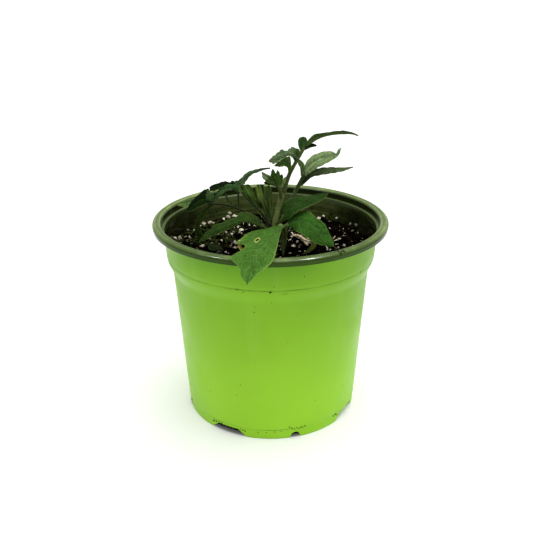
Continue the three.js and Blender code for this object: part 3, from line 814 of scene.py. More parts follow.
def mix_height(spots):
    """Height of the bed: a shallow dish, three crossing waves, and lumps of three sizes that
    grow weaker as they grow finer."""
    spots = np.asarray(spots, float)
    out = np.linalg.norm(spots, axis=-1) / COLLAR_RADIUS
    waves = sum(np.sin(a * spots[..., 0] + b * spots[..., 1] + c) for a, b, c in MIX_WAVES)
    lumps = 0.55 * cell_noise(spots, 5.2, 11) + 0.35 * cell_noise(spots, 2.1, 12)
    crumbs = 0.28 * (0.5 - np.abs(cell_noise(spots, 1.1, 13)))
    rise = 1.1 * np.exp(-(((np.linalg.norm(spots - STEM_FOOT, axis=-1)) / 5.0) ** 2))
    return MIX_LEVEL - MIX_DISH * (1 - out**2) + waves / 4 + lumps + crumbs + 0.4 * rise


# %% The bed
BED_FLOOR = 5.1
SIDE_PROFILE = (
    (0.5, BED_FLOOR), (40.6, BED_FLOOR), (42.9, 7.4), (47.2, 77.0), (49.6, 82.6), (49.9, 83.4),
)
TOP_RINGS = 118
BED_COLUMNS = 400
side_rows = filled_in(np.array(SIDE_PROFILE), FLOOR_STEP)
top_radii = MIX_RADIUS * np.linspace(1, 0.008, TOP_RINGS)
bed_angles = turns(BED_COLUMNS)
side_spots = on_circle(bed_angles, side_rows[:, :1])
side_heights = side_rows[:, None, 1:] + 0 * side_spots[..., :1]
side_places = np.concatenate([side_spots, side_heights], -1)
top_spots = on_circle(bed_angles, top_radii[:, None])
top_places = np.concatenate([top_spots, mix_height(top_spots)[..., None]], -1)
bed_rows = np.concatenate([side_places, top_places])
bed_poles = np.array([[0, 0, BED_FLOOR], [0, 0, mix_height([0.0, 0.0])]])
bed_places = np.vstack([bed_rows.reshape(-1, 3), bed_poles])
print("bed grid:", bed_rows.shape[:2])

# %% Finish of the bed
PEAT = tone(15, 11, 7)
PEAT_BLACK = tone(3, 2, 2)
PEAT_RUSTY = tone(74, 52, 34)
PEAT_MOSSY = tone(58, 70, 30)
PEAT_DUST = tone(150, 138, 112)

peat, board, shader = new_material("damp_peat", 0.95, gloss=0.0)
x, y, _ = board.parts(board.place())
brown = unevenly(board, PEAT, 700.0, 1.3)
coarse = board.ramp(board.noise(170.0, detail=5.0), 0.4, 0.62)
brown = board.mix(coarse, brown, PEAT_BLACK)
rusty = specked(board, 900.0, 0.35, 0.10)
brown = board.mix(rusty, brown, PEAT_RUSTY, 0.7)
damp_side = board.times(board.ramp(x, -0.004, -0.024), board.ramp(y, -0.001, 0.006))
mossy = board.times(board.ramp(board.noise(240.0, detail=5.0), 0.46, 0.58), damp_side)
brown = board.mix(mossy, brown, PEAT_MOSSY, 0.7)
dusted = specked(board, 1300.0, 0.3, 0.02)
board.feed(shader.inputs["Base Color"], board.mix(dusted, brown, PEAT_DUST))
board.bump(shader, board.noise(1100.0, 6.0), 0.9, 0.0006)
bed_shape = shape(bed_places, turned_faces(*bed_rows.shape[:2]))
bed = build("mix_bed", [bed_shape], [peat], ["potting_mix"])

# %% [markdown]
# Crumbs and grains are hundreds of copies of one small ball. Each copy is turned by a random
# rotation, stretched differently along its three axes, and roughened by moving its corners in
# and out. All copies of a kind are worked out together as one array and share one mesh.

# %% Strewn copies of a small ball
STREWN_RADIUS = 49.2
STEM_CLEARANCE = 2.4


def ball(divisions):
    """Places and triangles of a ball of radius 1 with evenly spread corners."""
    made = bmesh.new()
    bmesh.ops.create_icosphere(made, subdivisions=divisions, radius=1)
    places = np.array([v.co[:] for v in made.verts])
    faces = np.array([[v.index for v in f.verts] for f in made.faces])
    made.free()
    return places, faces


def random_turns(count, rng):
    """Random rotations as matrices, from unit vectors with four parts."""
    w, x, y, z = unit(rng.normal(size=(count, 4))).T
    rows = [
        [1 - 2 * (y * y + z * z), 2 * (x * y - z * w), 2 * (x * z + y * w)],
        [2 * (x * y + z * w), 1 - 2 * (x * x + z * z), 2 * (y * z - x * w)],
        [2 * (x * z - y * w), 2 * (y * z + x * w), 1 - 2 * (x * x + y * y)],
    ]
    return np.array(rows).transpose(2, 0, 1)


def strewn(centres, sizes, divisions, rng, stretch, rough, tones=None):
    """Rough little balls at the centres: each is stretched, roughened and then turned."""
    base, faces = ball(divisions)
    count = len(centres)
    scale = 1 + rng.uniform(-stretch, stretch, (count, 1, 3))
    bumps = 1 + rng.uniform(-rough, rough, (count, len(base), 1))
    turned = np.einsum("nij,nvj->nvi", random_turns(count, rng), base[None] * scale * bumps)
    places = centres[:, None] + turned * np.asarray(sizes)[:, None, None]
    shifts = len(base) * np.arange(count)[:, None, None]
    tones = rng.uniform(0, 1, count) if tones is None else tones
    values = np.repeat(tones, len(base))
    return shape(places, [(faces[None] + shifts).reshape(-1, 3)], 0, tone=values)


def disc_spots(count, rng):
    """Random spots spread evenly over the bed, none of them where the stem stands."""
    ring = STREWN_RADIUS * np.sqrt(rng.uniform(0, 1, count * 2))
    angle = rng.uniform(0, 2 * math.pi, count * 2)
    spots = on_circle(angle, ring)
    free = np.linalg.norm(spots - STEM_FOOT, axis=-1) > STEM_CLEARANCE
    return spots[free][:count]


def on_bed(spots, lift):
    """The spots raised to the bed's surface and by a little more."""
    return np.column_stack([spots, mix_height(spots) + lift])


# %% Crumbs of peat
rng = np.random.default_rng(41)
CRUMBS = 3000
crumb_spots = disc_spots(CRUMBS, rng)
crumb_sizes = 0.28 + 0.85 * rng.uniform(0, 1, CRUMBS) ** 3
crumb_places = on_bed(crumb_spots, crumb_sizes * 0.25)
crumbs = strewn(crumb_places, crumb_sizes, 1, rng, stretch=0.4, rough=0.3)
build("mix_crumbs", [crumbs], [peat])

# %% Pale grains where the photograph shows them
GRAIN_FIT = 0.9  # a grain's own size as a share of what its pixels span
GRAINS_SEEN = (  # pixel across, pixel down, width in pixels, paleness
    (229.2, 212.9, 4.0, 0.75), (227.7, 216.7, 4.0, 1.0), (223.8, 219.6, 3.5, 1.0),
    (233.8, 215.8, 4.0, 0.9), (237.1, 216.7, 3.0, 0.8), (204.2, 224.2, 6.0, 0.5),
    (210.4, 223.8, 6.0, 0.6), (194.2, 230.4, 3.0, 0.8), (173.8, 238.3, 4.5, 0.85),
    (180.0, 239.0, 5.0, 0.35), (185.8, 237.1, 3.0, 1.0), (189.6, 237.1, 2.5, 0.8),
    (187.1, 240.4, 3.0, 0.3), (241.3, 230.8, 5.5, 0.8), (242.5, 233.8, 3.5, 0.7),
    (249.2, 225.0, 3.0, 0.7), (225.8, 232.1, 2.5, 0.7), (221.3, 240.8, 3.6, 1.0),
    (233.3, 232.5, 3.0, 0.3), (210.0, 239.2, 4.0, 0.15), (202.5, 246.7, 4.5, 0.5),
    (218.8, 252.0, 4.5, 0.95), (225.8, 252.5, 3.0, 0.8), (235.0, 243.0, 5.0, 0.5),
    (234.4, 249.0, 5.5, 0.5), (238.6, 247.6, 4.4, 0.4), (324.2, 215.8, 4.0, 0.9),
    (314.6, 216.8, 3.4, 0.9), (318.8, 218.6, 3.8, 0.95), (337.1, 217.9, 2.8, 0.85),
    (338.8, 231.7, 2.8, 0.8), (344.6, 233.8, 2.4, 0.6), (357.1, 225.0, 3.8, 0.3),
    (350.8, 223.8, 2.4, 0.4), (352.5, 231.3, 2.6, 0.35), (329.6, 229.2, 2.6, 0.4),
    (330.4, 250.2, 3.6, 0.7), (344.0, 245.8, 3.2, 0.45), (338.3, 247.6, 3.0, 0.5),
    (291.7, 236.7, 3.2, 0.95), (290.0, 240.8, 3.0, 0.85), (297.5, 242.1, 3.6, 0.6),
    (292.9, 246.7, 4.6, 0.65), (299.6, 251.5, 2.2, 0.7), (290.0, 253.6, 2.8, 0.7),
    (313.8, 249.8, 3.0, 0.75), (327.1, 248.4, 2.2, 0.6),
)


def seen_on(pixels, pieces):
    """Where the sight lines of pixels first meet one of the pieces, and which of them do."""
    ready = bpy.context.evaluated_depsgraph_get()
    trees = [BVHTree.FromObject(piece, ready) for piece in pieces]
    origin = Vector(CAMERA_PLACE * MM)
    met = []
    found = []
    for ray in pixel_ray(pixels[:, 0], pixels[:, 1]):
        hits = [tree.ray_cast(origin, Vector(ray)) for tree in trees]
        hits = [(hit[3], tuple(hit[0])) for hit in hits if hit[0]]
        met.append(bool(hits))
        if hits:
            found.append(min(hits)[1])
    return np.array(found) / MM, np.array(met)


def size_at(places, pixels):
    """Half the width in millimetres of what spans so many pixels at the places."""
    return pixels / 2 * np.linalg.norm(places - CAMERA_PLACE, axis=1) / FOCAL_PIXELS


seen = np.array(GRAINS_SEEN)
seen_places, met = seen_on(seen, [pot, bed])
seen = seen[met]
seen_sizes = GRAIN_FIT * size_at(seen_places, seen[:, 2])
from_axis = np.linalg.norm(seen_places[:, :2], axis=1)
farthest = wall_radius(seen_places[:, 2]) + 0.3 - seen_sizes  # a grain may press into the wall
seen_places[:, :2] *= np.minimum(1, farthest / from_axis)[:, None]
large = strewn(seen_places, seen_sizes, 2, rng, 0.4, 0.2, seen[:, 3])
print("grains on their sight lines:", len(seen))

# %% Grains strewn between, and their finish
GRAINS = 420
grain_spots = disc_spots(GRAINS, rng)
grain_spots[:, 0] -= 12 * (grain_spots[:, 0] > 22) * (rng.uniform(0, 1, GRAINS) < 0.5)
grain_sizes = 0.14 + 0.7 * rng.uniform(0, 1, GRAINS) ** 5
grain_sizes *= 1 + 0.35 * (grain_spots[:, 0] < -8)
grain_tones = rng.uniform(0, 1, GRAINS) ** 1.8
small = strewn(on_bed(grain_spots, grain_sizes * 0.2), grain_sizes, 1, rng, 0.45, 0.3, grain_tones)

GRAIN_STAINED = tone(76, 62, 40)
GRAIN_CLEAN = tone(244, 238, 212)

perlite, board, shader = new_material("puffed_rock", 0.85, gloss=0.1)
stained = board.mix(board.stored("tone"), GRAIN_STAINED, GRAIN_CLEAN)
board.feed(shader.inputs["Base Color"], unevenly(board, stained, 900.0, 0.5))
board.bump(shader, board.noise(1500.0), 0.6, 0.0004)
build("mix_grains", [large, small], [perlite])

# %% [markdown]
# The chip of bark is a bundle of torn slivers, and so are the sticks and fibres, only finer. A
# sliver is a flattened tube along a slightly bent line. Its radius is the sum of a taper to both
# ends and noise that is stretched along the line, which gives it the lengthwise splinters.

# %% Slivers of bark and wood
def unrolled(along, turn):
    """A tube's surface as a flat chart: each spot's distance along it, and its angle."""
    return np.stack(np.meshgrid(along, turn, indexing="ij"), -1)


def tube(line, share, faces, reach, turn, flat=(1, 1), sink=0.0):
    """Places and faces of a closed tube. Its rings stand across the line and reach out by an
    array of distances at the angles of turn. The two shares of flat narrow them sideways and
    in height, and sink lowers each ring away from the side that the tube faces."""
    forward = line.forward(share)
    sideways = unit(np.cross(forward, unit(np.array(faces, float))))
    normal = np.cross(sideways, forward)
    middle = line.place(share) - normal * (sink + 0 * share)[:, None]
    across = (reach * np.cos(turn) * flat[0])[..., None]
    up = (reach * np.sin(turn) * flat[1])[..., None]
    rings = middle[:, None] + sideways[:, None] * across + normal[:, None] * up
    places = np.vstack([rings.reshape(-1, 3), middle[0], middle[-1]])
    return places, [block[:, ::-1] for block in turned_faces(*rings.shape[:2])]


def sliver(start, stop, width, depth, rng, bend, sides, ragged=0.35):
    """A splintered rod from start to stop, with an oval section of the width and depth."""
    start, stop = np.array(start, float), np.array(stop, float)
    reach = np.linalg.norm(stop - start)
    middle = (start + stop) / 2 + bend * reach * rng.uniform(-1, 1, 3) * (1, 1, 0.25)
    line = Line([start, middle, stop])
    share = np.linspace(0, 1, max(5, round(reach / 0.5)))
    turn = turns(sides)
    thinner = np.minimum(1, 0.35 + 3 * np.minimum(share, 1 - share))
    grain = cell_noise(unrolled(share * reach / 3, turn * 1.1), 1.0, rng.integers(999))
    size = thinner[:, None] * (1 + ragged * grain)
    places, blocks = tube(line, share, (0, 0, 1), size, turn, (width / 2, depth / 2))
    return shape(places, blocks, 0, tone=rng.uniform(0, 1))


# %% Finish of the bark
BARK_DULL = tone(226, 206, 160)
BARK_BRIGHT = tone(255, 248, 222)
BARK_CRACK = tone(96, 72, 44)
GRAIN_TURN = 0.95  # angle of the chip on the mix, in radians

bark, board, shader = new_material("dry_bark", 0.85, gloss=0.2)
cream = board.mix(board.stored("tone"), BARK_DULL, BARK_BRIGHT)
turn_back = {"Vector": board.place(), "Rotation": (0, 0, GRAIN_TURN)}
turned = board.add("ShaderNodeMapping", turn_back, vector_type="TEXTURE").outputs[0]
squeezed = board.add("ShaderNodeMapping", {"Vector": turned, "Scale": (1, 0.14, 1)}).outputs[0]
streaky = {"Vector": squeezed, "Scale": 1500.0, "Detail": 4.0}
cracks = board.ramp(board.add("ShaderNodeTexNoise", streaky).outputs[0], 0.49, 0.60)
board.feed(shader.inputs["Base Color"], board.mix(cracks, cream, BARK_CRACK))
board.bump(shader, cracks, 0.6, 0.0005).invert = True
print("material:", bark.name)

# %% The chip
rng = np.random.default_rng(8)
chip_start, chip_stop = np.array([12.6, 15.5, 85.2]), np.array([20.3, -1.8, 85.3])
chip_ahead = unit(chip_stop - chip_start)
chip_across = np.array([-chip_ahead[1], chip_ahead[0], 0])
CHIP_PARTS = (  # offset across at both ends, lift, shares where it starts and stops, width
    (-0.9, -0.9, 0.3, 0.10, 0.62, 0.9),
    (-0.1, -0.4, 0.9, 0.00, 0.92, 1.3),
    (0.9, 0.3, 0.6, 0.22, 1.00, 1.1),
    (0.3, 1.7, 0.3, 0.50, 1.05, 1.6),
    (-0.6, -2.1, 0.2, 0.55, 0.98, 1.4),
    (1.6, 0.9, 0.8, 0.55, 1.02, 0.8),
    (-2.0, -1.2, 0.1, 0.05, 0.36, 0.8),
    (1.9, 2.6, 0.1, 0.62, 0.90, 0.7),
    (-1.2, 0.6, 1.2, 0.66, 0.97, 0.8),
)
chip_parts = []
for from_across, to_across, lift, first, last, width in CHIP_PARTS:
    start, stop = (chip_start + (chip_stop - chip_start) * share for share in (first, last))
    start = start + chip_across * from_across + (0, 0, lift)
    stop = stop + chip_across * to_across + (0, 0, lift)
    chip_parts.append(sliver(start, stop, width, 0.9, rng, 0.06, 10, 0.9))
build("bark_pieces", chip_parts, [bark], ["bark_chip"])

# %% Sticks and fibres
STICKS = (  # pixels of both ends and the width in pixels
    (289.2, 230.5, 294.5, 236.0, 1.5), (333.0, 237.5, 335.5, 235.3, 1.0),
    (334.0, 240.0, 341.5, 239.0, 1.4), (335.0, 243.5, 338.5, 243.0, 1.1),
    (304.0, 249.0, 308.0, 246.5, 0.8), (198.0, 248.0, 204.0, 245.0, 2.0),
)
STICK_LIMIT = 48.5  # how far from the axis a stick may reach, and a fibre
FIBRE_LIMIT = 49
sticks = []
for x_start, y_start, x_stop, y_stop, width in STICKS:
    ends = pixel_at_height(np.array([x_start, x_stop]), np.array([y_start, y_stop]), MIX_LEVEL)
    inside = np.minimum(1, STICK_LIMIT / np.linalg.norm(ends[:, :2], axis=1))
    ends = on_bed(ends[:, :2] * inside[:, None], 0.5)
    sticks.append(sliver(*ends, width * 0.5, width * 0.4, rng, 0.08, 8))
FIBRES = 150
fibre_spots = disc_spots(FIBRES, rng)
fibre_turns = rng.uniform(0, 2 * math.pi, FIBRES)
fibre_reach = rng.uniform(0.8, 3.2, FIBRES)
fibre_stops = fibre_spots + on_circle(fibre_turns, fibre_reach)
for spot, stop in zip(fibre_spots, fibre_stops):
    stop = stop * min(1, FIBRE_LIMIT / np.linalg.norm(stop))
    ends = on_bed(np.array([spot, stop]), 0.15) + [[0, 0, 0], [0, 0, rng.uniform(-0.2, 0.5)]]
    sticks.append(sliver(*ends, 0.22, 0.18, rng, 0.2, 5))
build("mix_sticks", sticks, [bark])

# %% Crumbs that stick to the pot: soil, and at the notches partly painted shade
# The lowest crumbs, along the foot ring at its notches, are partly soil and partly painted shade.
CRUMBS_SEEN = (  # pixel across, pixel down, size in pixels
    (304.4, 276.6, 1.3), (274.2, 287.0, 1.3), (270.3, 292.5, 2.2), (243.3, 292.0, 1.6),
    (236.7, 289.7, 1.5), (231.0, 289.2, 0.8), (226.0, 288.8, 0.7), (284.5, 294.2, 1.0),
    (286.5, 294.0, 0.8), (271.7, 303.0, 1.0), (255.3, 307.0, 0.8), (254.2, 312.5, 1.1),
    (360.3, 272.0, 1.3), (367.5, 273.6, 1.1), (367.5, 279.7, 1.3), (240.4, 385.0, 1.1),
    (210.0, 391.0, 1.0), (336.4, 414.6, 1.6), (345.0, 407.0, 2.0), (348.0, 405.5, 1.8),
    (289.5, 427.4, 1.5), (292.0, 428.2, 1.6), (294.5, 428.8, 1.8), (297.0, 427.6, 1.6),
    (299.2, 428.6, 1.5), (301.2, 426.8, 1.4), (303.0, 427.2, 1.4), (305.0, 425.6, 1.5),
    (214.2, 420.4, 1.8), (216.5, 421.0, 1.6), (219.0, 421.6, 1.5), (222.5, 422.2, 1.3),
    (240.6, 429.0, 1.4), (242.8, 430.2, 1.5), (245.0, 431.0, 1.3), (258.0, 432.2, 1.0),
    (266.0, 432.4, 0.9), (275.0, 432.0, 1.0), (281.0, 431.2, 1.0), (335.0, 414.0, 1.8),
    (333.0, 415.8, 1.4), (326.4, 187.9, 1.8), (311.0, 190.2, 0.9), (331.0, 253.4, 0.9),
    (336.2, 250.8, 1.7), (339.4, 249.2, 1.8), (338.3, 251.5, 1.8), (339.8, 252.9, 2.1),
    (340.8, 253.9, 2.2), (342.5, 250.4, 1.7), (343.9, 251.6, 1.6), (341.4, 251.8, 1.5),
    (335.0, 252.4, 1.2), (338.4, 248.6, 1.2),
)

crumbs_seen = np.array(CRUMBS_SEEN)
crumb_places, met = seen_on(crumbs_seen, [pot])
crumb_sizes = size_at(crumb_places, crumbs_seen[met, 2])
rng = np.random.default_rng(17)
stuck = strewn(crumb_places, crumb_sizes, 1, rng, 0.4, 0.25)
print("crumbs on the pot:", len(crumb_places))

# %% Splashes on the wall, and dark crumbs in the notches, as soil and painted shade
SPLASHES = 320
splash_height = 84 + 11 * rng.uniform(0, 1, SPLASHES) ** 2.6
splash_turn = rng.uniform(0, 2 * math.pi, SPLASHES)
splash_radius = wall_radius(splash_height) - 0.05
splash_places = np.column_stack([on_circle(splash_turn, splash_radius), splash_height])
splash_sizes = 0.12 + 0.4 * rng.uniform(0, 1, SPLASHES) ** 3
splashes = strewn(splash_places, splash_sizes, 1, rng, 0.45, 0.3)

# Dark crumbs under the crowns of the notches: partly soil, partly painted shade inside the notches.
NOTCH_CRUMBS = 260
DARKENED_QUARTERS = (0, 180, 270)  # turns in degrees to the notches that get the dark crumbs
quarter = rng.choice(DARKENED_QUARTERS, NOTCH_CRUMBS)
in_wide = rng.uniform(0, 1, NOTCH_CRUMBS) < 0.75
spread = rng.uniform(-1, 1, NOTCH_CRUMBS)
wide_turn = NOTCH["turn"] + 9 * spread
small_turn = SMALL_NOTCH["turn"] + 2.6 * spread
notch_turn = np.where(in_wide, wide_turn, small_turn) + quarter
notch_radius = FOOT_RADIUS - rng.uniform(0.1, 0.9, NOTCH_CRUMBS)
notch_places = np.column_stack([
    notch_radius * np.sin(np.radians(notch_turn)),
    -notch_radius * np.cos(np.radians(notch_turn)),
    foot_edge(notch_turn) - rng.uniform(0.0, 0.9, NOTCH_CRUMBS),
])
notch_soil_and_shade = strewn(notch_places, rng.uniform(0.25, 0.55, NOTCH_CRUMBS), 1, rng, 0.4, 0.25)
build("stuck_soil", [stuck, splashes, notch_soil_and_shade], [peat])

# %% [markdown]
# ## How a leaf is made
#
# A tomato leaf is compound: a hairy stalk carries leaflets, each with its own midrib, side
# veins that run forward into the teeth, and tissue that puffs up between the veins. Each leaflet
# here is a function of two numbers: the share of the way along its rib, and the side, from -1
# at the left margin over 0 on the rib to 1 at the right margin. The rib is a smooth line, the
# half width is an arch with teeth, and the height above the rib adds up from simple terms:
# an arch or a fold, the puffs between the veins, the groove over the rib, and slow waves.

# %% Leaf sizes
BLADE = 0.34  # thickness at the rib
MARGIN = 0.16  # thickness at the margin
SWEEP = 0.5  # how far the margin runs ahead of the rib, as a share of the half width
FULLNESS = 0.8
CELL = 0.34  # spacing of the places on a blade
VEIN_LEAN = 0.75  # how far a side vein runs forward for each millimetre outwards
VEIN_BEND = 0.02
VEIN_STAGGER = 0.22  # how far the veins of the two sides are moved apart, in vein spacings
RIDGE = 0.10  # how far a side vein stands out below
GROOVE = 0.12  # depth of the groove over the rib
GROOVE_WIDTH = 0.42
RIPPLE = 0.02  # height of the waves at the margin, as a share of the half width
STALK_ROW = 0.7  # spacing of the rings on a stalk
THINNEST = 0.04  # radius below which no stalk goes
UP = (0, 0, 1)
PLAIN_GREEN = (50, 88, 14)


# %% Margins and pale marks
def teeth_along(share, teeth, depth, seed):
    """Share of the half width that is left after the notches: each tooth rises slowly to its tip
    and falls quickly into the notch ahead, and no two notches are equally deep."""
    phase = share * (teeth + 1)
    rise = np.sin(math.pi * (phase - np.floor(phase)) ** 1.25) ** 0.65
    uneven_depth = depth * (1 + 0.35 * cell_noise(phase[..., None], 1.0, seed))
    return 1 - uneven_depth * (1 - rise)


def margins(form, rib, share, sideways, seed):
    """Vectors from the rib out to the left and right margins, for shares of the rib. They come
    from two traced lines, from rows of share and reach that are joined smoothly, or from a sine
    arch with its widest place moved along the rib."""
    teeth = teeth_along(share, form["teeth"], form["depth"], seed)
    if "edges" in form:
        lines = [Line(points) for points in form["edges"]]
        return [(line.place(share) - rib.place(share)) * teeth[..., None] for line in lines]
    if "left" in form:
        closing = np.minimum(1, 0.05 + np.sqrt(np.clip((1.004 - share) / 0.05, 0, 1)))
        reach = []
        for rows in (np.array(form["left"]), np.array(form["right"])):
            near = [np.interp(share + step, rows[:, 0], rows[:, 1]) for step in (-0.015, 0, 0.015)]
            reach.append(sum(near) / 3 * teeth * closing)
    else:
        power = math.log(0.5) / math.log(form["widest"])
        arch = np.sin(math.pi * np.clip(share, 0, 1) ** power) ** FULLNESS
        reach = [np.maximum(0.16, form["width"] / 2 * arch * teeth)] * 2
    return [-sideways * reach[0][..., None], sideways * reach[1][..., None]]


def pale_marks(form, x, across, side):
    """How pale the blade is: at the margins, by the form's rim on the left and on the right, and
    round each mark, given as millimetres along and across, a radius and a strength."""
    left_rim, right_rim = form.get("rim", (0.15, 0.15))
    pale = np.where(side < 0, left_rim, right_rim) * soft_step(0.86, 1.0, np.abs(side)) + 0 * x
    for mark_x, mark_across, radius, strength in form.get("marks", ()):
        away = np.hypot(x - mark_x, across - mark_across) / radius
        pale = np.maximum(pale, strength * np.exp(-(away**4)))
    return pale


# %% A hole eaten through a blade
def from_hole(hole, places):
    """Distances of places from an oval hole in the picture, in its own radii. The hole is its
    middle, its long and short radius, all in pixels, and the angle of the long one."""
    offset = pixels_of(places) - np.array(hole[:2])
    cosine, sine = math.cos(hole[4]), math.sin(hole[4])
    along = offset[..., 0] * cosine + offset[..., 1] * sine
    across = offset[..., 1] * cosine - offset[..., 0] * sine
    return np.maximum(np.hypot(along / hole[2], across / hole[3]), 1e-6)


def pierced(rho, flat):
    """Which cells of a grid fall into a hole, where rho is under 1, and how far the corners
    round it move so that its edge is smooth. The flat places are millimetres along and across."""
    offset = flat - flat[np.unravel_index(rho.argmin(), rho.shape)]
    of_cell = (rho[:-1, :-1] + rho[1:, :-1] + rho[:-1, 1:] + rho[1:, 1:]) / 4
    gone = of_cell < 1
    near = np.zeros(rho.shape)
    for row, column in ((0, 0), (0, 1), (1, 0), (1, 1)):
        near[row : row + gone.shape[0], column : column + gone.shape[1]] += gone
    on_edge = (near > 0) & (near < 4)
    return gone, offset * ((1 / rho - 1) * on_edge)[..., None]


def hole_walls(faces, gone, under):
    """Upright faces between the upper and lower edge of a hole: they stand on every edge that a
    face that stays shares with one that is gone."""
    ahead = np.roll(faces, -1, axis=1)
    code = faces.astype(np.int64) * 10**6 + ahead
    reverse = ahead.astype(np.int64) * 10**6 + faces
    shared = np.isin(code[~gone], reverse[gone])
    start, stop = faces[~gone][shared], ahead[~gone][shared]
    return np.stack([stop, start, start + under, stop + under], -1)


# %% Height and colour of a blade
def relief(form, share, side, half, widest, flat, spacing, between, seed):
    """Height of a blade over its rib: an arch, which is 2 * arch * half width * -side^2, the
    puffs between the veins, slow waves, and a ripple at the margin. A traced leaflet bulges
    between rib and margin instead, so that both stay where they were traced."""
    bulge = 3 * np.abs(side) * (1 - np.abs(side)) if "edges" in form else -(side**2)
    puffs = form.get("puff", 0.02) * 2 * widest * between
    wobble = form.get("wobble", 0.035) * 2 * widest
    unevenness = wobble * cell_noise(flat, max(2.2, spacing * 1.3), seed)
    unevenness = unevenness * soft_step(0, 0.12, share) * (1 - 0.6 * side**2)
    waves = np.sin(2 * math.pi * (share * (form["teeth"] + 1) + 0.3 * side))
    height = 2 * form.get("arch", 0.1) * bulge * half
    return height + puffs + unevenness + RIPPLE * half * waves * side**2


def greens(form, along, side, flat, seed):
    """A blade's green at each place: its given green, with painted light and shade along the rib
    and on its two halves, made lighter or darker by long streaks and by a fine mottle."""
    strands = cell_noise(flat * (0.2, 1.4), 1.0, seed + 5)
    mottle = 0.12 * cell_noise(flat, 1.5, seed + 9)
    shade = np.interp(along, (0, 0.3, 1), form.get("shade", (1, 1, 1)))
    shade = shade * np.where(side < 0, *form.get("halves", (1, 1)))
    shade = shade * (1 + form.get("streaks", 0.12) * strands + mottle)
    return np.clip(shade, 0.1, 3)[..., None] * np.array(tone(*form.get("green", PLAIN_GREEN)))


def sheet_faces(rows, columns, gone):
    """Faces of a closed sheet with an upper and a lower grid of places: its two sides without
    the cells that are gone, the strip round its margin, and the walls of its hole."""
    count = rows * columns
    upper = grid_faces(rows, columns)
    walls = hole_walls(upper, gone.ravel(), count)
    upper = upper[~gone.ravel()]
    edge = np.concatenate([
        np.arange(rows - 1) * columns + columns - 1,
        (rows - 1) * columns + np.arange(columns - 1, 0, -1),
        np.arange(rows - 1, 0, -1) * columns,
        np.arange(columns - 1),
    ])
    ahead = np.roll(edge, -1)
    rim = np.stack([edge, ahead, ahead + count, edge + count], -1)
    return [upper, upper[:, ::-1] + count, rim, walls]


# %% One leaflet
def blade(form, root, seed):
    """A closed leaflet along the rib from root through the form's path. A place is
    rib + |side| * margin + normal * height, and half a thickness above or below that."""
    rib = Line([root, *form["path"]])
    rows = max(14, round(rib.length / CELL))
    share = np.linspace(0, 1, rows)[:, None]
    faces = unit(np.array(form.get("faces", UP), float))
    across_rib = unit(np.cross(rib.forward(share), faces))
    left, right = margins(form, rib, share, across_rib, seed)
    widest = max(np.linalg.norm(left, axis=-1).max(), np.linalg.norm(right, axis=-1).max())
    columns = 2 * max(4, round(widest / CELL)) + 1
    side = np.linspace(-1, 1, columns)[None, :]
    outwards = np.where(side[..., None] < 0, left, right)
    half = np.linalg.norm(outwards, axis=-1)
    traced_one = "edges" in form
    sweep = 0 if traced_one else SWEEP
    along = np.minimum(1, share + sweep * np.abs(side) * half * (1 - share) / rib.length)
    forward = rib.forward(along)
    if traced_one:
        sideways = unit(right - left) + 0 * forward
        reach = outwards * np.abs(side)[..., None]
    else:
        sideways = unit(np.cross(forward, faces))
        reach = sideways * (side * half)[..., None]
    normal = unit(np.cross(sideways, forward))

    across = side * half
    x = along * rib.length
    flat = np.stack([x, across], -1)
    spacing = rib.length / (form.get("veins", form["teeth"] + 1) + 1)
    vein = (x - VEIN_LEAN * np.abs(across) - VEIN_BEND * across**2) / spacing
    vein = vein + VEIN_STAGGER * np.tanh(across / 0.6)
    beside = np.abs(vein - np.round(vein)) * 2
    tissue = np.clip(1 - side**4, 0, 1) * soft_step(0, 1.2, np.abs(across))
    between = (beside**0.7 - 0.5) * tissue
    height = relief(form, share, side, half, widest, flat, spacing, between, seed)
    groove = GROOVE * np.exp(-((across / GROOVE_WIDTH) ** 2)) * (1 - 0.8 * share)
    thick = MARGIN + (BLADE - MARGIN) * (1 - side**2) * np.clip(widest / 3, 0.5, 1)
    ridge = RIDGE * (1 - beside) ** 3 * tissue

    middle = rib.place(along) + reach
    gone = np.zeros((rows - 1, columns - 1), bool)
    pale = pale_marks(form, x, across, side)
    if "hole" in form:
        rho = from_hole(form["hole"], middle)
        pale = np.maximum(pale, 0.95 * np.exp(-(((rho - 1.15) / 0.4) ** 2)))
        gone, shift = pierced(rho, flat)
        middle = middle + forward * shift[..., :1] + sideways * shift[..., 1:]
    top = middle + normal * (height + thick / 2 - groove)[..., None]
    bottom = middle + normal * (height - thick / 2 - groove - ridge)[..., None]
    chart = np.stack([np.broadcast_to(vein, across.shape), across / 10], -1).reshape(-1, 2)
    return shape(
        np.concatenate([top.reshape(-1, 3), bottom.reshape(-1, 3)]),
        sheet_faces(rows, columns, gone),
        0,
        upper=np.repeat([1.0, 0.0], rows * columns),
        pale=np.tile(pale.ravel(), 2),
        colour=np.tile(greens(form, along, side, flat, seed).reshape(-1, 4), (2, 1)),
        chart=np.tile(chart, (2, 1)),
    )


# %% Leaflets traced from the photograph
def sight(rows):
    """Places on the sight lines of pixels, for rows of pixel across, pixel down and depth y."""
    rows = np.asarray(rows, float)
    ray = pixel_ray(rows[:, 0], rows[:, 1])
    reach = (rows[:, 2] - CAMERA_PLACE[1]) / ray[:, 1]
    return CAMERA_PLACE + ray * reach[:, None]


def shares(pixels):
    """How far along a row of pixels each one stands, as a share of the whole way."""
    gaps = np.linalg.norm(np.diff(pixels[:, :2], axis=0), axis=1)
    return np.concatenate([[0], np.cumsum(gaps)]) / gaps.sum()


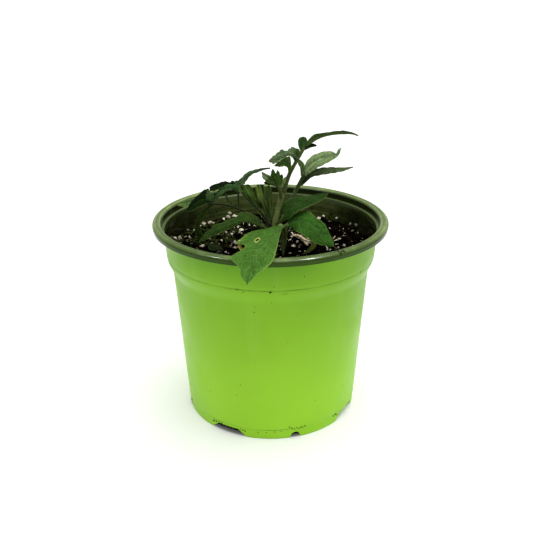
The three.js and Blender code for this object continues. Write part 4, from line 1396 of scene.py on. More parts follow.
def traced(rib, left, right, tilt, **form):
    """A leaflet read off the photograph: its rib as pixels with a depth, and its margins as
    pixels. A margin's depth is the rib's at the same share, plus tilt millimetres for each
    pixel that it stands above the rib. Left and right are as seen on its upper side."""
    rib = np.array(rib, float)
    edges = []
    for pixels in (np.array(left, float), np.array(right, float)):
        above = np.interp(shares(pixels), shares(rib), rib[:, 1]) - pixels[:, 1]
        depth = np.interp(shares(pixels), shares(rib), rib[:, 2]) + tilt * above
        edges.append(sight(np.column_stack([pixels, depth])))
    places = sight(rib)
    return {**form, "first": places[0], "path": places[1:], "edges": edges}


def nearest(line, place):
    """The share of a line's length at which it passes nearest to a place."""
    tries = np.linspace(0, 1, 400)
    return tries[np.argmin(np.linalg.norm(line.place(tries) - place, axis=1))]


# %% One stalk, or the raised rib under a leaflet
def stalk(line, radius, sides, green, sink=0.0, faces=UP, groove=0.12, seed=0):
    """A closed tube: rings across the line whose radius is a function of the share, a little
    flattened into a groove on the upper side, and lowered by sink millimetres and one radius
    from the line if there is a sink."""
    share = np.linspace(0, 1, max(6, round(line.length / STALK_ROW)))
    size = np.maximum(radius(share), THINNEST)
    turn = turns(sides)
    hollow = 1 - groove * np.exp(-(((turn - math.pi / 2) / 0.6) ** 2))
    bumpy = 1 + 0.06 * cell_noise(unrolled(share * line.length, turn), 1.6, seed)
    lowered = (size + sink) * (sink > 0)
    places, blocks = tube(line, share, faces, size[:, None] * hollow * bumpy, turn, sink=lowered)
    return shape(places, blocks, 1, colour=tone(*green))


def taper(start, end, swell=0.0):
    """A radius that goes evenly from start to end, thicker at the foot by swell."""
    return lambda share: start + (end - start) * share + swell * np.exp(-share / 0.05)


# %% Fine hairs
HAIR_WIDTH = 0.045


def hairs(line, radius, count, rng, length, start, stop=1.0):
    """Thin three-sided spikes on a stalk: each stands out from the surface at a random angle
    round it, leans a little along it, and ends in a point."""
    share = rng.uniform(start, stop, count)
    turn = rng.uniform(0, 2 * math.pi, count)
    forward = line.forward(share)
    off_line = np.eye(3)[np.argmin(np.abs(forward).sum(0))]
    sideways = unit(np.cross(forward, off_line))
    normal = np.cross(sideways, forward)
    out = sideways * np.cos(turn)[:, None] + normal * np.sin(turn)[:, None]
    foot = line.place(share) + out * (np.maximum(radius(share), THINNEST) * 0.85)[:, None]
    reach = length * rng.uniform(0.45, 1.15, count)[:, None]
    lean = forward * rng.uniform(-0.35, 0.5, (count, 1))
    point = unit(out + lean + 0.2 * rng.normal(size=(count, 3)))
    side_a = np.cross(point, forward) * HAIR_WIDTH
    side_b = unit(np.cross(point, side_a)) * HAIR_WIDTH
    ring = [foot + side_a, foot - 0.5 * side_a + 0.87 * side_b, foot - 0.5 * side_a - 0.87 * side_b]
    corners = np.stack([*ring, foot + point * reach], 1)
    pattern = np.array([(0, 1, 3), (1, 2, 3), (2, 0, 3), (2, 1, 0)])
    faces = (pattern[None] + 4 * np.arange(count)[:, None, None]).reshape(-1, 3)
    return shape(corners, [faces], 2)


# %% [markdown]
# ## Leaf finishes
#
# The blade's colour follows its own chart: the first number counts side veins, so a vein is
# wherever it comes near a whole number, and the second is the distance from the rib. A second,
# finer net of veins comes from the borders of small cells. The upper side is deep green, the
# underside paler and greyer, and a little light goes into the blades.

# %% The veins as a shared effect
veining, board, given, result = new_group(
    "leaf_veins",
    [("Width", NUMBER, 0.06), ("Rib", NUMBER, 0.035)],
    [("Veins", NUMBER), ("Net", NUMBER), ("Upper", NUMBER), ("Height", NUMBER)],
)
chart = board.parts(board.add("ShaderNodeUVMap", uv_map="veins").outputs[0])
past_half = board.math("FRACT", board.math("ADD", chart["X"], 0.5))
from_vein = board.math("ABSOLUTE", board.math("SUBTRACT", past_half, 0.5))
side_veins = board.ramp(from_vein, given["Width"], 0.0)
from_rib = board.math("ABSOLUTE", chart["Y"])
rib = board.ramp(from_rib, given["Rib"], 0.0)
outward = board.ramp(from_rib, 0.02, 0.9, 1.0, 0.35)
veins = board.math("MAXIMUM", rib, board.times(side_veins, outward))
small_cells = {"Vector": board.place(), "Scale": 850.0}
cells = board.add("ShaderNodeTexVoronoi", small_cells, feature="DISTANCE_TO_EDGE")
net = board.ramp(cells.outputs["Distance"], 0.10, 0.0)
board.feed(result["Veins"], veins)
board.feed(result["Net"], net)
board.feed(result["Upper"], board.ramp(board.stored("upper"), 0.35, 0.65))
dips = board.times(net, 0.45)
board.feed(result["Height"], board.math("SUBTRACT", 1.0, board.math("MAXIMUM", veins, dips)))


def let_light_in(shader, weight, reach, sheen):
    """Lets light a little way into a leaf or stalk, by a reach in metres for red, green and
    blue, and gives its down a faint sheen."""
    shader.inputs["Subsurface Weight"].default_value = weight
    shader.inputs["Subsurface Radius"].default_value = reach
    shader.inputs["Subsurface Scale"].default_value = 1.0
    shader.inputs["Sheen Weight"].default_value = sheen


# %% The blades
PALE_RIM = tone(172, 186, 100)

leaf_green, board, shader = new_material("leaf_green", 0.55, gloss=0.01)
marks = use(board, veining)
own = board.stored("colour", "Color")
green = unevenly(board, own, 130.0, 0.22)
green = unevenly(board, green, 1300.0, 0.75)
lighter = board.retoned(own, 0.75, 1.7)
under = board.mix(0.35, green, lighter)
under = board.mix(marks["Veins"], under, lighter, 0.8)
downy = specked(board, 1700.0, 0.28, 0.16)
for mask, amount in ((downy, 0.4), (marks["Net"], 0.16), (marks["Veins"], 0.45)):
    green = board.mix(mask, green, lighter, amount)
green = board.mix(marks["Upper"], under, green)
board.feed(shader.inputs["Base Color"], board.mix(board.stored("pale"), green, PALE_RIM))
board.bump(shader, marks["Height"], 0.3, 0.0004)
shader.inputs["Sheen Roughness"].default_value = 0.5
let_light_in(shader, 0.12, (0.0006, 0.0012, 0.0003), 0.006)
print("leaf finish:", leaf_green.name)

# %% Stalks and hairs
HAIR_PALE = tone(142, 154, 114)

stalk_green, board, shader = new_material("stalk_green", 0.5, gloss=0.04)
own = board.stored("colour", "Color")
patchy = unevenly(board, own, 60.0, 0.35)
long_lines = board.ramp(board.noise(500.0, stretch=(1, 1, 0.15)), 0.45, 0.65)
skin = board.mix(long_lines, patchy, board.retoned(own, value=0.4), 0.5)
board.feed(shader.inputs["Base Color"], skin)
board.bump(shader, long_lines, 0.25, 0.0003)
let_light_in(shader, 0.1, (0.0006, 0.001, 0.0003), 0.05)

hair_white, board, shader = new_material("hair_white", 0.6, gloss=0.1)
board.feed(shader.inputs["Base Color"], unevenly(board, HAIR_PALE, 200.0, 0.2))
LEAF_PAINTS = [leaf_green, stalk_green, hair_white]
print("stalk finishes:", stalk_green.name, hair_white.name)

# %% [markdown]
# ## Stem and leaves
#
# The stem leans to the right as it rises, and ends in the leading shoot. Each leaf names the
# height at which it leaves the stem, the points that its stalk runs through, and its leaflets.
# A leaflet's place on the stalk is a share of the stalk's length. The greens, shades and half
# shades of the leaflets are partly painted light and shade: leaflets in light have lighter greens,
# and leaflets in shade darker ones.

# %% The stem
STEM = [
    (1.4, -10, 80), (1.4, -10, 84), (1.7, -9.6, 92), (2.3, -9, 99.5), (3.9, -7.6, 106.6),
    (6.1, -5, 113.6), (6.9, -4.6, 115.4),
]
STEM_GREEN = (100, 112, 58)
stem_line = Line(STEM)
stem_radius = taper(1.75, 1.12)
rng = np.random.default_rng(5)
stem_hairs = hairs(stem_line, stem_radius, 900, rng, 0.8, 0.15)
stem_tube = stalk(stem_line, stem_radius, 20, STEM_GREEN, faces=(0, -1, 0.1), groove=0.0)
build("stem_shoot", [stem_tube, stem_hairs], LEAF_PAINTS, ["stem"], uv="veins")


def stem_at(height):
    """The stem's axis at a height."""
    share = np.interp(height, stem_line.spots[:, 2], stem_line.travel) / stem_line.length
    return stem_line.place(share)


# %% A whole leaf
STALK_GREEN = (66, 80, 28)
TWIG_GREEN = (50, 76, 30)
RIB_SINK = 0.2  # how far below the blade's middle the raised rib lies


def leaf(
    name, height, path, radius, leaflets, slot="leaf", green=STALK_GREEN, twigs=(), fuzz=9, seed=1
):
    """A stalk from the stem, its leaflets with a raised rib under each, small stalks of their
    own where the photograph shows them, and hairs, fuzz of them for each millimetre."""
    rng = np.random.default_rng(seed)
    main = Line([stem_at(height), *path])
    size = taper(*radius, swell=0.35)
    found = [stalk(main, size, 12, green, seed=seed)]
    found.append(hairs(main, size, int(fuzz * main.length), rng, 0.7, 0.08))
    for rows in twigs:
        found.append(stalk(Line(sight(rows)), taper(0.5, 0.3), 8, TWIG_GREEN))
    for i, form in enumerate(leaflets):
        at = nearest(main, form["first"]) if "first" in form else form["at"]
        root = main.place(at)
        found.append(blade(form, root, seed * 10 + i))
        rib = Line([root, *form["path"]])
        rib_size = taper(min(size(at) * 0.8, 0.75), 0.1)
        own = form.get("green", green)
        found.append(stalk(rib, rib_size, 8, own, RIB_SINK, form.get("faces", UP), 0.0, seed + i))
        found.append(hairs(rib, rib_size, int(fuzz * rib.length / 5), rng, 0.5, 0.0, 0.7))
    return build(name, found, LEAF_PAINTS, [name], uv="veins")


# %% [markdown]
# The front leaf is the largest. It runs forward over the lip and its tip hangs down outside.
# Its margins aren't regular, so both are given as rows of share and reach, read off the
# photograph along the sight lines: two lobes stand out on one side. Between them and the rib a
# small hole with a pale rim goes through the blade.

# %% Front leaf
MARKS = ((25.5, 14.4, 2.2, 0.6),)  # millimetres along and across, radius, strength
HOLE = (257.2, 240.6, 2.3, 1.5, -0.7)  # middle and radii in pixels, and the long one's angle
FRONT_LEAFLET = {
    "at": 1.0,
    "path": [
        (1.4, -32, 101.2), (-3.3, -46, 101.4), (-6, -55.8, 101.4), (-8.4, -61.4, 98),
        (-9.8, -65.2, 92.8),
    ],
    "teeth": 9, "depth": 0.05, "green": (63, 101, 32), "rim": (0.3, 0.15), "marks": MARKS,
    "hole": HOLE, "shade": (1.0, 1.0, 1.3), "veins": 7, "arch": 0.03, "puff": 0.018,
    "wobble": 0.022,
    "left": [
        (0, 0.9), (0.02, 0.9), (0.1, 1.3), (0.2, 1.9), (0.3, 2.7), (0.4, 4.2), (0.5, 5.7),
        (0.6, 6.6), (0.66, 7.1), (0.72, 7.9), (0.78, 7.6), (0.82, 7), (0.86, 5.6), (0.9, 4),
        (0.94, 2.5), (0.975, 1.2), (1, 0.2),
    ],
    "right": [
        (0, 1.6), (0.04, 6.6), (0.07, 9.6), (0.11, 12.4), (0.15, 13.8), (0.336, 14.2),
        (0.419, 14.2), (0.47, 12.7), (0.511, 8.6), (0.54, 8.0), (0.59, 8.1), (0.668, 8.6),
        (0.736, 10.4), (0.782, 12.1), (0.812, 10.3), (0.842, 7.2), (0.886, 4.6), (0.93, 3.8),
        (0.975, 1.9), (1, 0.2),
    ],
}
LIT = (118, 146, 80)  # green of the two stalks that catch the light at the crown
front_path = [(3.2, -12.6, 97.4), (4.8, -15.2, 100.4)]
leaf("leaf_front", 93.6, front_path, (1.3, 1.2), [FRONT_LEAFLET], green=LIT, seed=1)

# %% A withered sliver in the notch of the front leaf
WITHERED_SIGHT = ((240.2, 241.2, -36.6), (241.9, 251.4, -39.6))  # both ends: pixels and depth
WITHERED_YELLOW = tone(248, 216, 96)
WITHERED_BROWN = tone(206, 158, 66)

withered, board, shader = new_material("withered_leaf", 0.8, gloss=0.1)
browner = board.ramp(board.noise(700.0), 0.45, 0.6)
dry = board.mix(browner, WITHERED_YELLOW, WITHERED_BROWN)
board.feed(shader.inputs["Base Color"], dry)
rng = np.random.default_rng(3)
strip = sliver(*sight(WITHERED_SIGHT), 1.2, 0.4, rng, 0.08, 8, 0.5)
build("withered_sliver", [strip], [withered])

# %% Two leaves at the right
DROOPING_LEAFLET = {
    "at": 0.7,
    "path": [(12, -13, 101.6), (17.5, -15, 101.2), (23.5, -18, 97.8), (29.3, -20.5, 91.6)],
    "faces": (0.1, -0.6, 0.8), "teeth": 8, "depth": 0.06, "green": (50, 91, 24), "veins": 6,
    "arch": 0.05,
    "left": [
        (0, 1.0), (0.03, 4.0), (0.07, 4.9), (0.172, 6.0), (0.273, 7.3), (0.345, 6.8),
        (0.385, 5.5), (0.467, 5.4), (0.54, 5.7), (0.659, 4.7), (0.726, 3.7), (0.844, 2.6),
        (0.931, 2.1), (1, 0.3),
    ],
    "right": [
        (0, 0.6), (0.08, 2.0), (0.2, 5.8), (0.457, 7.0), (0.641, 6.6), (0.723, 6.2), (0.842, 4.2),
        (0.939, 1.9), (1, 0.3),
    ],
}
RAISED_LEAFLET = {
    "at": 0.6,
    "path": [(8.6, -9.4, 107), (13.5, -6.7, 108.9), (20.4, -2.5, 110), (28.2, 3, 110.4)],
    "faces": (0, -0.25, 1), "teeth": 7, "depth": 0.05, "green": (39, 67, 19), "veins": 6,
    "arch": 0.08,
    "left": [
        (0, 1.2), (0.03, 4.4), (0.06, 5.5), (0.173, 5.9), (0.34, 6.4), (0.554, 4.4), (0.753, 2.3),
        (0.899, 1.8), (1, 0.2),
    ],
    "right": [
        (0, 1.4), (0.03, 3.2), (0.06, 4.2), (0.103, 4.6), (0.2, 5.0), (0.372, 5.2), (0.573, 4.5),
        (0.78, 3.5), (0.904, 1.9), (1, 0.2),
    ],
}
right_path = [(6.2, -10.4, 97.8), (8.6, -11.6, 99.8)]
leaf("leaf_right", 95.8, right_path, (1.3, 1.0), [DROOPING_LEAFLET], green=LIT, seed=2)
raised_path = [(5.2, -10.6, 101.4), (6.2, -10.6, 104)]
leaf("leaf_right_upper", 98.5, raised_path, (1, 0.8), [RAISED_LEAFLET], seed=3)

# %% The low leaf at the left
LOW_LEAFLET = {
    "at": 0.75,
    "path": [(-11.5, -10.6, 101.8), (-18.8, -9.2, 99), (-27.6, -7.6, 95.2), (-35, -6.6, 89)],
    "faces": (0, -0.5, 0.85), "teeth": 8, "depth": 0.07, "green": (44, 68, 20), "veins": 7,
    "arch": 0.08,
    "left": [
        (0, 0.4), (0.15, 0.7), (0.255, 1.5), (0.407, 1.9), (0.504, 2.4), (0.676, 3.0),
        (0.857, 1.9), (1, 0.2),
    ],
    "right": [
        (0, 1.0), (0.07, 4.0), (0.176, 5.2), (0.281, 6.1), (0.335, 5.4), (0.366, 3.6),
        (0.517, 3.9), (0.604, 3.1), (0.701, 3.9), (0.752, 2.1), (0.867, 2.4), (1, 0.3),
    ],
}
low_path = [(-0.8, -11, 96.2), (-4.4, -11.8, 99.4)]
leaf("leaf_left_low", 91.2, low_path, (1.1, 0.8), [LOW_LEAFLET], seed=4)

# %% [markdown]
# The leaves behind are seen at low angles, so their leaflets are traced: the rib is a row of
# pixels with a depth, and each margin is a row of pixels that takes its depth from the rib.
# The far leaf has a brown stalk that arches over the mix, three leaflets at its end, and a
# narrow one that hangs down.

# %% The far leaf at the left
far_leaflets = [
    traced(  # dark end leaflet
        [(213.1, 201.5, 5), (207.5, 199.2, 5), (199.4, 200.6, 4.6), (192, 205.8, 4), (186, 212, 3.4)],
        [(213.1, 202.4), (207.5, 204), (201.5, 207), (195, 209.8), (190.4, 211.6), (186, 212.4)],
        [
            (213.1, 200.6), (210.6, 194.4), (207.9, 188), (203.8, 189.8), (198.2, 194.8),
            (193.2, 199.2), (189.4, 204.2), (186, 211.6),
        ],
        tilt=0.5, teeth=5, depth=0.14, green=(13, 30, 4), halves=(1.6, 0.8), streaks=0.4,
    ),
    traced(  # pale end leaflet
        [(211.9, 202.5, 4.4), (209.8, 197.8, 4), (207.8, 190.2, 4)],
        [(210.6, 202.8), (206, 199), (206.2, 193.8), (207.5, 190)],
        [(212.8, 202.2), (214.5, 195), (211.2, 191.9), (207.9, 190)],
        tilt=0.2, teeth=3, depth=0.16, green=(68, 94, 52),
    ),
    traced(  # leaflet over the lip
        [(203.8, 202, 5.6), (195, 201.2, 7.4), (186.2, 203.1, 8), (177.5, 205.2, 8)],
        [(203.8, 202.8), (195, 204.8), (186.2, 207.2), (177.8, 205.8)],
        [(203.5, 201), (197.5, 197.8), (188.8, 199.4), (181.2, 202.5), (177.2, 205)],
        tilt=0.7, teeth=5, depth=0.2, green=(76, 100, 50), streaks=0.4,
    ),
    traced(  # hanging leaflet
        [
            (211.9, 205.2, 3.6), (204, 211.5, 2.6), (199, 220, 1.6), (197.2, 230, 0.8),
            (200, 240.6, 0),
        ],
        [
            (211.2, 207.5), (205.6, 213.8), (201.8, 220), (200.2, 228.1), (202.8, 235),
            (200.2, 240.9),
        ],
        [
            (210.6, 204.8), (200.8, 212.2), (196.8, 219), (194.8, 228.1), (196.8, 238.1),
            (199.8, 240.9),
        ],
        tilt=0.2, teeth=6, depth=0.06, green=(34, 50, 10),
    ),
]
far_path = [
    (-1, -7, 96.8), (-4.1, -5.2, 97.8), (-13.8, 1, 102.6), (-21.5, 4, 104.3), (-31.5, 5, 104.8),
]
far = {"green": (40, 46, 18), "fuzz": 3, "seed": 5}
leaf("leaf_left_far", 95.8, far_path, (0.65, 0.4), far_leaflets, **far)


# %% [markdown]
# The tall leaf shows its undersides: three upright leaflets stand side by side near its foot,
# and its stalk runs up along them to a lit leaflet, a dark one behind and a thin one above.

# %% The tall leaf at the left
tall_leaflets = [
    traced(  # thin upper leaflet
        [(236.9, 185, 0.8), (241.9, 180, 0.4), (250, 174, 0), (259.4, 170, 0), (270.4, 167.9, 0)],
        [
            (238.1, 185.2), (245, 183.8), (247.8, 179), (253.1, 174), (258.1, 172.2),
            (264.4, 169.8), (270.4, 168.1),
        ],
        [
            (234.4, 183.8), (235, 181.2), (240, 178.8), (244.8, 174), (251.2, 170.6), (260, 168.5),
            (270.2, 167.5),
        ],
        tilt=0.7, teeth=6, depth=0.16, green=(56, 82, 44), shade=(1.3, 1, 0.4), streaks=0.5,
    ),
    traced(  # dark leaflet behind
        [(236.2, 185, 6), (228.8, 183.8, 7), (220, 185.6, 7.4), (209.8, 189.4, 7.4)],
        [(236.2, 186.2), (228.8, 186), (220, 188.5), (213.8, 191.8), (209.8, 190.8)],
        [
            (236, 183.8), (232.1, 180.6), (228.1, 183), (225, 181.2), (219.4, 183.2), (212.5, 185),
            (209, 187.8),
        ],
        tilt=0.9, teeth=6, depth=0.2, green=(14, 28, 4),
    ),
    traced(  # lit leaflet
        [(237.5, 186.9, 3.4), (228.8, 187.5, 3.6), (221.2, 191.2, 4.6), (212.8, 200.5, 6)],
        [(237.5, 189.8), (230, 189.2), (223.8, 193), (219, 197.8), (212.8, 200.9)],
        [
            (237.5, 184), (228.8, 183.8), (222.5, 185.6), (217.5, 190.6), (213.1, 197.8),
            (212.5, 200.2),
        ],
        tilt=0.7, teeth=5, depth=0.2, green=(50, 80, 40), streaks=0.4,
    ),
    traced(  # broad leaflet
        [(269.4, 226.2, -7), (261.9, 213.1, -5), (251.2, 197.8, -2.5), (244, 185, 0)],
        [
            (270.4, 225.6), (266.2, 213.1), (257.5, 200.6), (254, 191.9), (250.2, 184.8),
            (244.4, 184.5),
        ],
        [
            (267.8, 225.2), (257.5, 211.5), (247.5, 200.2), (239.5, 192.2), (238, 185.6),
            (243.8, 184.6),
        ],
        tilt=0.3, teeth=6, depth=0.12, green=(56, 84, 12), streaks=1.0, shade=(0.4, 0.9, 1.1),
    ),
    traced(  # upright leaflet
        [(270.2, 226.2, -7.4), (266.9, 213.8, -5.6), (261.9, 198.8, -3.6), (259.4, 184.4, -2)],
        [(271.5, 226), (271.2, 213.1), (268.1, 200.6), (266.2, 190.6), (264, 185), (259.5, 184.1)],
        [(269, 225.6), (262.2, 213.1), (256.2, 201.2), (254.5, 190.6), (257.2, 184.1)],
        tilt=0.25, teeth=5, depth=0.12, green=(66, 86, 22), streaks=1.3, shade=(0.2, 0.8, 1.1),
    ),
    traced(  # second upright leaflet
        [(271.2, 226.2, -7.8), (271, 213.8, -6.6), (269.6, 198.8, -5), (268.6, 185.6, -3.4)],
        [(272.8, 226), (273.4, 213.1), (272.4, 200), (272, 190), (269.4, 185.4)],
        [(270, 225.6), (268.4, 213.1), (266.4, 200.6), (265, 190.6), (266.4, 186)],
        tilt=0.25, teeth=5, depth=0.1, green=(48, 66, 16), streaks=1.2, shade=(0.4, 0.8, 1.1),
    ),
]
TALL_STALK_SIGHT = (  # pixels and depth
    (268.2, 222.6, -8.4), (262, 213.2, -6.9), (252, 203.6, -4.8), (241.6, 192.4, -0.6),
)
tall_twigs = [
    [(238.4, 187, 2), (238.4, 197, 2.4), (239, 206, 3), (242, 209.6, 3)],
    [(226, 193.6, 4), (227.6, 200, 4.4), (231.9, 203.8, 4.6)],
]
tall = {"green": (26, 36, 12), "twigs": tall_twigs, "fuzz": 3, "seed": 6}
leaf("leaf_left_tall", 98.2, sight(TALL_STALK_SIGHT), (0.5, 0.4), tall_leaflets, **tall)


# %% [markdown]
# The leaf at the back right has a long bare stalk. One leaflet stands up at its end and shows its
# pale side, with a small lobe beside it, and another lies flat, so that it's seen from its edge.
# The top leaf ends the leading shoot: seven leaflets stand along its stalk, and the last of them
# is long and bends over to the right.

# %% The leaf at the back right
back_leaflets = [
    traced(  # standing leaflet
        [
            (303.5, 174.8, 6.8), (308.5, 167.4, 7), (316.2, 161.1, 7.4), (325, 157.8, 7.8),
            (333.1, 155.8, 8), (337.5, 152.5, 8), (341, 147.6, 8),
        ],
        [
            (303, 174.5), (303.8, 168.6), (305.2, 163.5), (310, 157), (316.2, 153.6),
            (323.1, 151.5), (329, 150.9), (333.5, 151.8), (335.9, 153.5), (338, 149.5),
            (340.9, 147.4),
        ],
        [
            (304.4, 175.2), (310, 173.2), (317.5, 168.2), (325.6, 164), (335, 158.6),
            (339.4, 154.5), (341.2, 148),
        ],
        tilt=0.25, teeth=5, depth=0.08, green=(124, 146, 96), streaks=0.3,
    ),
    traced(  # its side lobe
        [(303.5, 171.8, 6.6), (301.8, 166.1, 6.4), (299.2, 159.8, 6.2)],
        [(302.8, 172), (300.2, 167.8), (297.8, 163.6), (298.9, 159.2)],
        [(304.8, 169.9), (304.5, 164.5), (301.8, 160.8), (299.1, 159.2)],
        tilt=0.2, teeth=2, depth=0.05, green=(80, 104, 52),
    ),
    traced(  # flat leaflet
        [
            (301.9, 184.9, 6), (305.6, 178.6, 6.2), (311.2, 174.2, 6), (322.5, 171.2, 6),
            (336.2, 169.8, 5.6), (353.1, 167.1, 5),
        ],
        [
            (300.2, 184.9), (302, 178), (304, 174.2), (310.6, 171), (318.8, 168.1), (330, 167.1),
            (342.5, 167.6), (353.1, 166.9),
        ],
        [
            (303, 185.5), (305.6, 181.8), (310, 178.2), (317.5, 175.8), (330, 173.8), (345, 170.8),
            (353.1, 167.4),
        ],
        tilt=0.9, teeth=6, depth=0.12, green=(66, 80, 48), shade=(0.25, 0.5, 1.5), streaks=0.4,
    ),
]
BACK_STALK_SIGHT = ((292.5, 199, 2), (296, 190.5, 4.6), (301, 181, 6), (304, 174.7, 6.6))
back_path = [(5.8, -5, 99.6), *sight(BACK_STALK_SIGHT)]
back = {"green": (50, 70, 26), "fuzz": 5, "seed": 7}
leaf("leaf_back_right", 97.8, back_path, (1.1, 1), back_leaflets, **back)


# %% The top leaf, on the leading shoot
top_leaflets = [
    traced(  # end leaflet
        [
            (305, 146.8, -2), (311.2, 140.8, -2), (320, 136.2, -2), (330, 133.8, -2),
            (342.5, 132.8, -2), (351.9, 133.4, -2), (358.5, 135.5, -2),
        ],
        [
            (305.6, 144.9), (308.1, 140.5), (312.5, 135.5), (318.8, 133.2), (325, 132.6),
            (333.8, 131.4), (342.5, 130.5), (351.2, 132.2), (358.5, 135.4),
        ],
        [
            (305.2, 147), (311.2, 143.6), (316.2, 140.1), (322.5, 137.2), (330, 135.4),
            (340, 134.4), (350, 134.2), (358.5, 135.6),
        ],
        tilt=1.0, teeth=5, depth=0.1, green=(42, 58, 22), shade=(1.6, 1.0, 0.8), streaks=0.3,
    ),
    traced(  # round leaflet
        [(301.5, 151.8, -1.6), (302, 146.8, -1.3), (303, 141.8, -1), (303.5, 136.6, -1)],
        [(300.6, 151.5), (298.4, 146.1), (297.9, 140.9), (299.5, 137.6), (303.5, 136.5)],
        [(302.5, 151.5), (308, 147), (307.5, 142), (306.5, 138), (303.5, 136.5)],
        tilt=0.1, teeth=3, depth=0.03, green=(46, 76, 34), streaks=0.3,
    ),
    traced(  # small dark leaflet
        [(305.6, 146.8, -2.6), (310, 145.9, -2.8), (313.1, 145.5, -3), (316.8, 145.5, -3)],
        [(306.2, 145.8), (310, 143.9), (313.8, 143.6), (316.5, 145)],
        [(306.9, 147.5), (310, 147.6), (313.1, 147), (316.5, 146.2)],
        tilt=0.8, teeth=3, depth=0.1, green=(18, 34, 8),
    ),
    traced(  # pale side leaflet
        [
            (297.5, 156.1, -4.2), (291.2, 153.6, -5), (283.1, 154.9, -6.5), (275.6, 159.2, -8),
            (268.5, 161.2, -9),
        ],
        [
            (296.9, 156.5), (292.5, 155.8), (288.1, 155.8), (280.6, 160.8), (273.8, 164.2),
            (268.5, 161.5),
        ],
        [
            (298.1, 151.8), (295, 147), (290.6, 146.8), (287.8, 149.5), (284.4, 151), (282.8, 149),
            (280, 150), (275.6, 153.8), (271.2, 157.5), (268.8, 160.8),
        ],
        tilt=0.75, teeth=7, depth=0.22, green=(76, 98, 62), streaks=0.7, shade=(0.6, 0.95, 1.1),
    ),
    traced(  # dark side leaflet
        [(291.5, 171.8, -4.6), (288.8, 164.2, -4.8), (283.1, 161.8, -6), (274.4, 165.8, -7.5)],
        [
            (292.5, 171.1), (291.2, 164.2), (289.8, 156.1), (285, 157.5), (278.8, 161.5),
            (274.1, 165.5),
        ],
        [(290.8, 172), (288.5, 168.8), (285, 166.5), (279.4, 167.2), (274.4, 166.1)],
        tilt=0.2, teeth=5, depth=0.18, green=(58, 86, 22), streaks=0.6, shade=(1.4, 1, 0.6),
    ),
    traced(  # leaflet behind
        [(296.2, 159.2, -3), (294, 155.8, -3), (292.5, 151.8, -3)],
        [(295.2, 159.2), (291.2, 157), (290.5, 154.5), (292.2, 151.8)],
        [(297.1, 158.6), (296.8, 154.9), (295.6, 152.4), (292.8, 151.8)],
        tilt=0.2, teeth=3, depth=0.1, green=(42, 64, 24),
    ),
    traced(  # upper small leaflet
        [(300.6, 154.9, -2.6), (298.1, 152.4, -2.8), (296.9, 148.6, -3)],
        [(300, 155.5), (296.2, 153), (295.2, 149.9), (296.9, 148.4)],
        [(301.5, 154.2), (300.2, 151.1), (298.8, 149), (297, 148.4)],
        tilt=0.3, teeth=3, depth=0.1, green=(50, 74, 30),
    ),
]
top_path = [(8.8, -4, 121.3), (11.6, -2.9, 126.4), (16, -2, 133.8)]
leaf("leaf_top", 113.6, top_path, (1.15, 0.7), top_leaflets, green=(70, 84, 32), seed=8)


# %% [markdown]
# The last leaves are simpler. The young ones at the growing tip are narrow and deeply toothed,
# and each is a plain arch that faces the camera. The two seed leaves have smooth margins, and
# the shed leaflet has no stalk and lies flat on the mix.

# %% The young leaves at the growing tip
TO_CAMERA = (0, -0.9, 0.45)


def slim(rib, width, **form):
    """A narrow leaflet that faces the camera, from its rib as pixels with a depth and its width."""
    places = sight(rib)
    return {**form, "first": places[0], "path": places[1:], "width": width, "faces": TO_CAMERA}


young_leaflets = [
    slim(
        [(282, 190, -9.2), (278.8, 184.5, -9), (275.4, 179.5, -9), (273.6, 174.8, -9)],
        4.4, teeth=5, depth=0.3, green=(40, 60, 12), widest=0.62, streaks=0.7, shade=(1.5, 1, 0.8),
    ),
    slim(
        [(281.4, 189.2, -9.2), (276.6, 181.6, -9.4), (273.4, 174.5, -9.2), (272.8, 168.8, -8.8)],
        3.2, teeth=4, depth=0.3, green=(46, 68, 16), widest=0.6, streaks=0.6, shade=(1.4, 1, 0.8),
    ),
    slim(
        [(281.6, 189, -9.6), (279.6, 181.5, -10), (278.2, 175.5, -10), (277.6, 170, -9.6)],
        2.8, teeth=3, depth=0.3, green=(52, 78, 20), widest=0.6, streaks=0.5, shade=(1.4, 1, 0.7),
    ),
    slim(
        [(281.8, 188.6, -9), (281.2, 181.5, -9), (281.8, 174.2, -9)],
        1.7, teeth=2, depth=0.3, green=(28, 42, 8), widest=0.75,
    ),
    slim(
        [(279, 186.6, -9.4), (272.6, 181.2, -9.6), (266.8, 178, -9.4), (262, 176.6, -9)],
        3.8, teeth=4, depth=0.3, green=(46, 70, 22), widest=0.6, streaks=0.7,
    ),
    slim(
        [(268.8, 178.6, -9.8), (263.8, 174.6, -9.4), (261.8, 171.6, -9)],
        2.7, teeth=3, depth=0.2, green=(92, 116, 76), widest=0.6, streaks=0.8,
    ),
    slim(
        [(277.4, 186.4, -8.6), (270.6, 183.6, -8), (263.6, 182.6, -7.6)],
        1.9, teeth=3, depth=0.3, green=(14, 24, 5), widest=0.7,
    ),
    slim(
        [(281.5, 188, -9.5), (283.4, 182, -9.6), (285.6, 176.8, -9.6)],
        1.7, teeth=2, depth=0.2, green=(88, 108, 62), widest=0.6, streaks=0.5,
    ),
]
young_path = [(4.6, -9, 114.2), (4, -9.2, 117.6)]
leaf("leaf_young", 110.4, young_path, (0.8, 0.6), young_leaflets, seed=9)


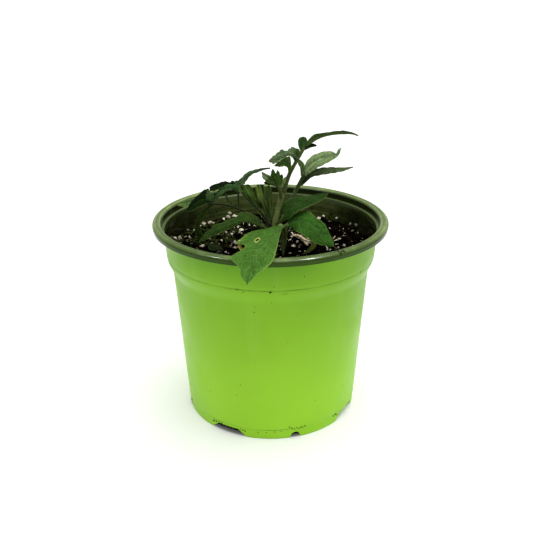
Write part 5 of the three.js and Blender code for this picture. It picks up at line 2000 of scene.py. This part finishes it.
# %% Two seed leaves
front_seed = traced(
    [(284, 224, -14), (284.1, 240, -14.4), (283.1, 255.4, -16)],
    [(287.2, 226), (287, 240), (285, 250), (283.4, 255.6)],
    [(280.6, 227), (280.3, 240), (281.2, 249), (282.9, 255.6)],
    tilt=0.0, teeth=3, depth=0.0, green=(66, 78, 36), veins=2, wobble=0.06, streaks=0.5,
)
right_seed = {
    "at": 0.85,
    "path": [(18.6, -4.4, 91), (21, -7, 88.2), (18.4, -12.4, 86.9), (15, -16.6, 86.6)],
    "faces": (0.4, 0, 1), "width": 2.4, "widest": 0.5, "teeth": 4, "depth": 0.0,
    "green": (64, 74, 18),
}
front_path = [(5.2, -12, 94.6), (5.8, -13.6, 96.8)]
right_path = [(7, -7.4, 93.6), (13, -2.6, 94)]
leaf("seed_leaf_front", 89.6, front_path, (0.8, 0.6), [front_seed], "seed_leaf", seed=10)
leaf("seed_leaf_right", 89.2, right_path, (0.7, 0.5), [right_seed], "seed_leaf", seed=11)

# %% A leaflet that lies on the mix
shed = {
    "green": (30, 44, 18),
    "path": [(-26.9, -3.7, 85.4), (-30.8, -1.2, 85.6)],
    "width": 6.4, "widest": 0.5, "teeth": 4, "depth": 0.08,
}
shed_blade = blade(shed, np.array([-23.1, -6.6, 85.3]), 77)
build("shed_leaflet", [shed_blade], LEAF_PAINTS, ["shed_leaflet"], uv="veins")

# %% [markdown]
# ## Floor and light
#
# The object stood in a white light box. A dim white world lights it from all sides, and a very
# wide sun gives the main light, which leaves the wall under the lip and the mix inside the pot
# darker. Two small lamps that only mirror in the surface make the streaks on the lip. The floor
# is a plain white sheet that is also lit from below, as on a product photographer's light table,
# so that shadows on it stay faint and the wall grows brighter towards its foot. Under the pot the
# sheet gives no light, and except towards the right it is painted dark as shade, which shows in
# the notches of the foot ring.

# %% Floor
PAPER_WHITE = (0.87, 0.87, 0.86, 1)
PAPER_PAINTED_SHADE = (0.03, 0.034, 0.026, 1)
GLOW = (1, 1, 0.97, 1)
GLOW_STRENGTH = 0.22
BLACK = (0, 0, 0, 1)
FLOOR_HALF = 9000.0

paper, board, shader = new_material("white_paper", 0.9, gloss=0.1)
place = board.place()
from_pot = board.length(place)
to_the_right = board.ramp(board.parts(place)["X"], 0.018, 0.026)
# Painted shade: the paper under the pot, except towards the right, is dark, and its glow stops under
# the pot.
beyond_painted_shade = board.math("MAXIMUM", board.ramp(from_pot, 0.0425, 0.0445), to_the_right)
board.feed(shader.inputs["Base Color"], board.mix(beyond_painted_shade, PAPER_PAINTED_SHADE, PAPER_WHITE))
lit = board.mix(board.ramp(from_pot, 0.038, 0.047), BLACK, GLOW)
board.feed(shader.inputs["Emission Color"], lit)
shader.inputs["Emission Strength"].default_value = GLOW_STRENGTH
corners = FLOOR_HALF * np.array([(-1, -1, 0), (1, -1, 0), (1, 1, 0), (-1, 1, 0)], float)
floor_mesh = bpy.data.meshes.new("floor")
floor_mesh.from_pydata((corners * MM).tolist(), [], [(0, 1, 2, 3)])
floor_mesh.materials.append(paper)
floor = bpy.data.objects.new("floor", floor_mesh)
bpy.context.scene.collection.objects.link(floor)

# %% Lights
def add_lamp(name, kind, place, target, power):
    """A lamp at a place, turned to face a target; both are in millimetres."""
    data = bpy.data.lights.new(name, kind)
    data.energy = power
    lamp = bpy.data.objects.new(name, data)
    bpy.context.scene.collection.objects.link(lamp)
    lamp.location = Vector(place) * MM
    lamp.rotation_euler = (Vector(target) - Vector(place)).to_track_quat("-Z", "Y").to_euler()
    return lamp


SUN_POWER = 1.9
SUN_SPREAD = math.radians(55)
STRIP_SIDE = 45 * MM
STRIPS = (("left_strip", -360, 2.5), ("right_strip", 225, 6.0))  # name, place across, watts
WORLD_LIGHT = 0.65

sun = add_lamp("overhead", "SUN", (70, 20, 500), (0, 0, 0), SUN_POWER)
sun.data.angle = SUN_SPREAD
for name, across, watts in STRIPS:
    strip = add_lamp(name, "AREA", (across, -160, 560), (across / 12, -50, 100), watts)
    strip.data.size = STRIP_SIDE
    strip.visible_diffuse = False

world = bpy.data.worlds.new("light_box")
world.use_nodes = True
background = world.node_tree.nodes["Background"]
background.inputs["Color"].default_value = (1, 1, 1, 1)
background.inputs["Strength"].default_value = WORLD_LIGHT
bpy.context.scene.world = world
bpy.context.scene.view_settings.view_transform = "Standard"
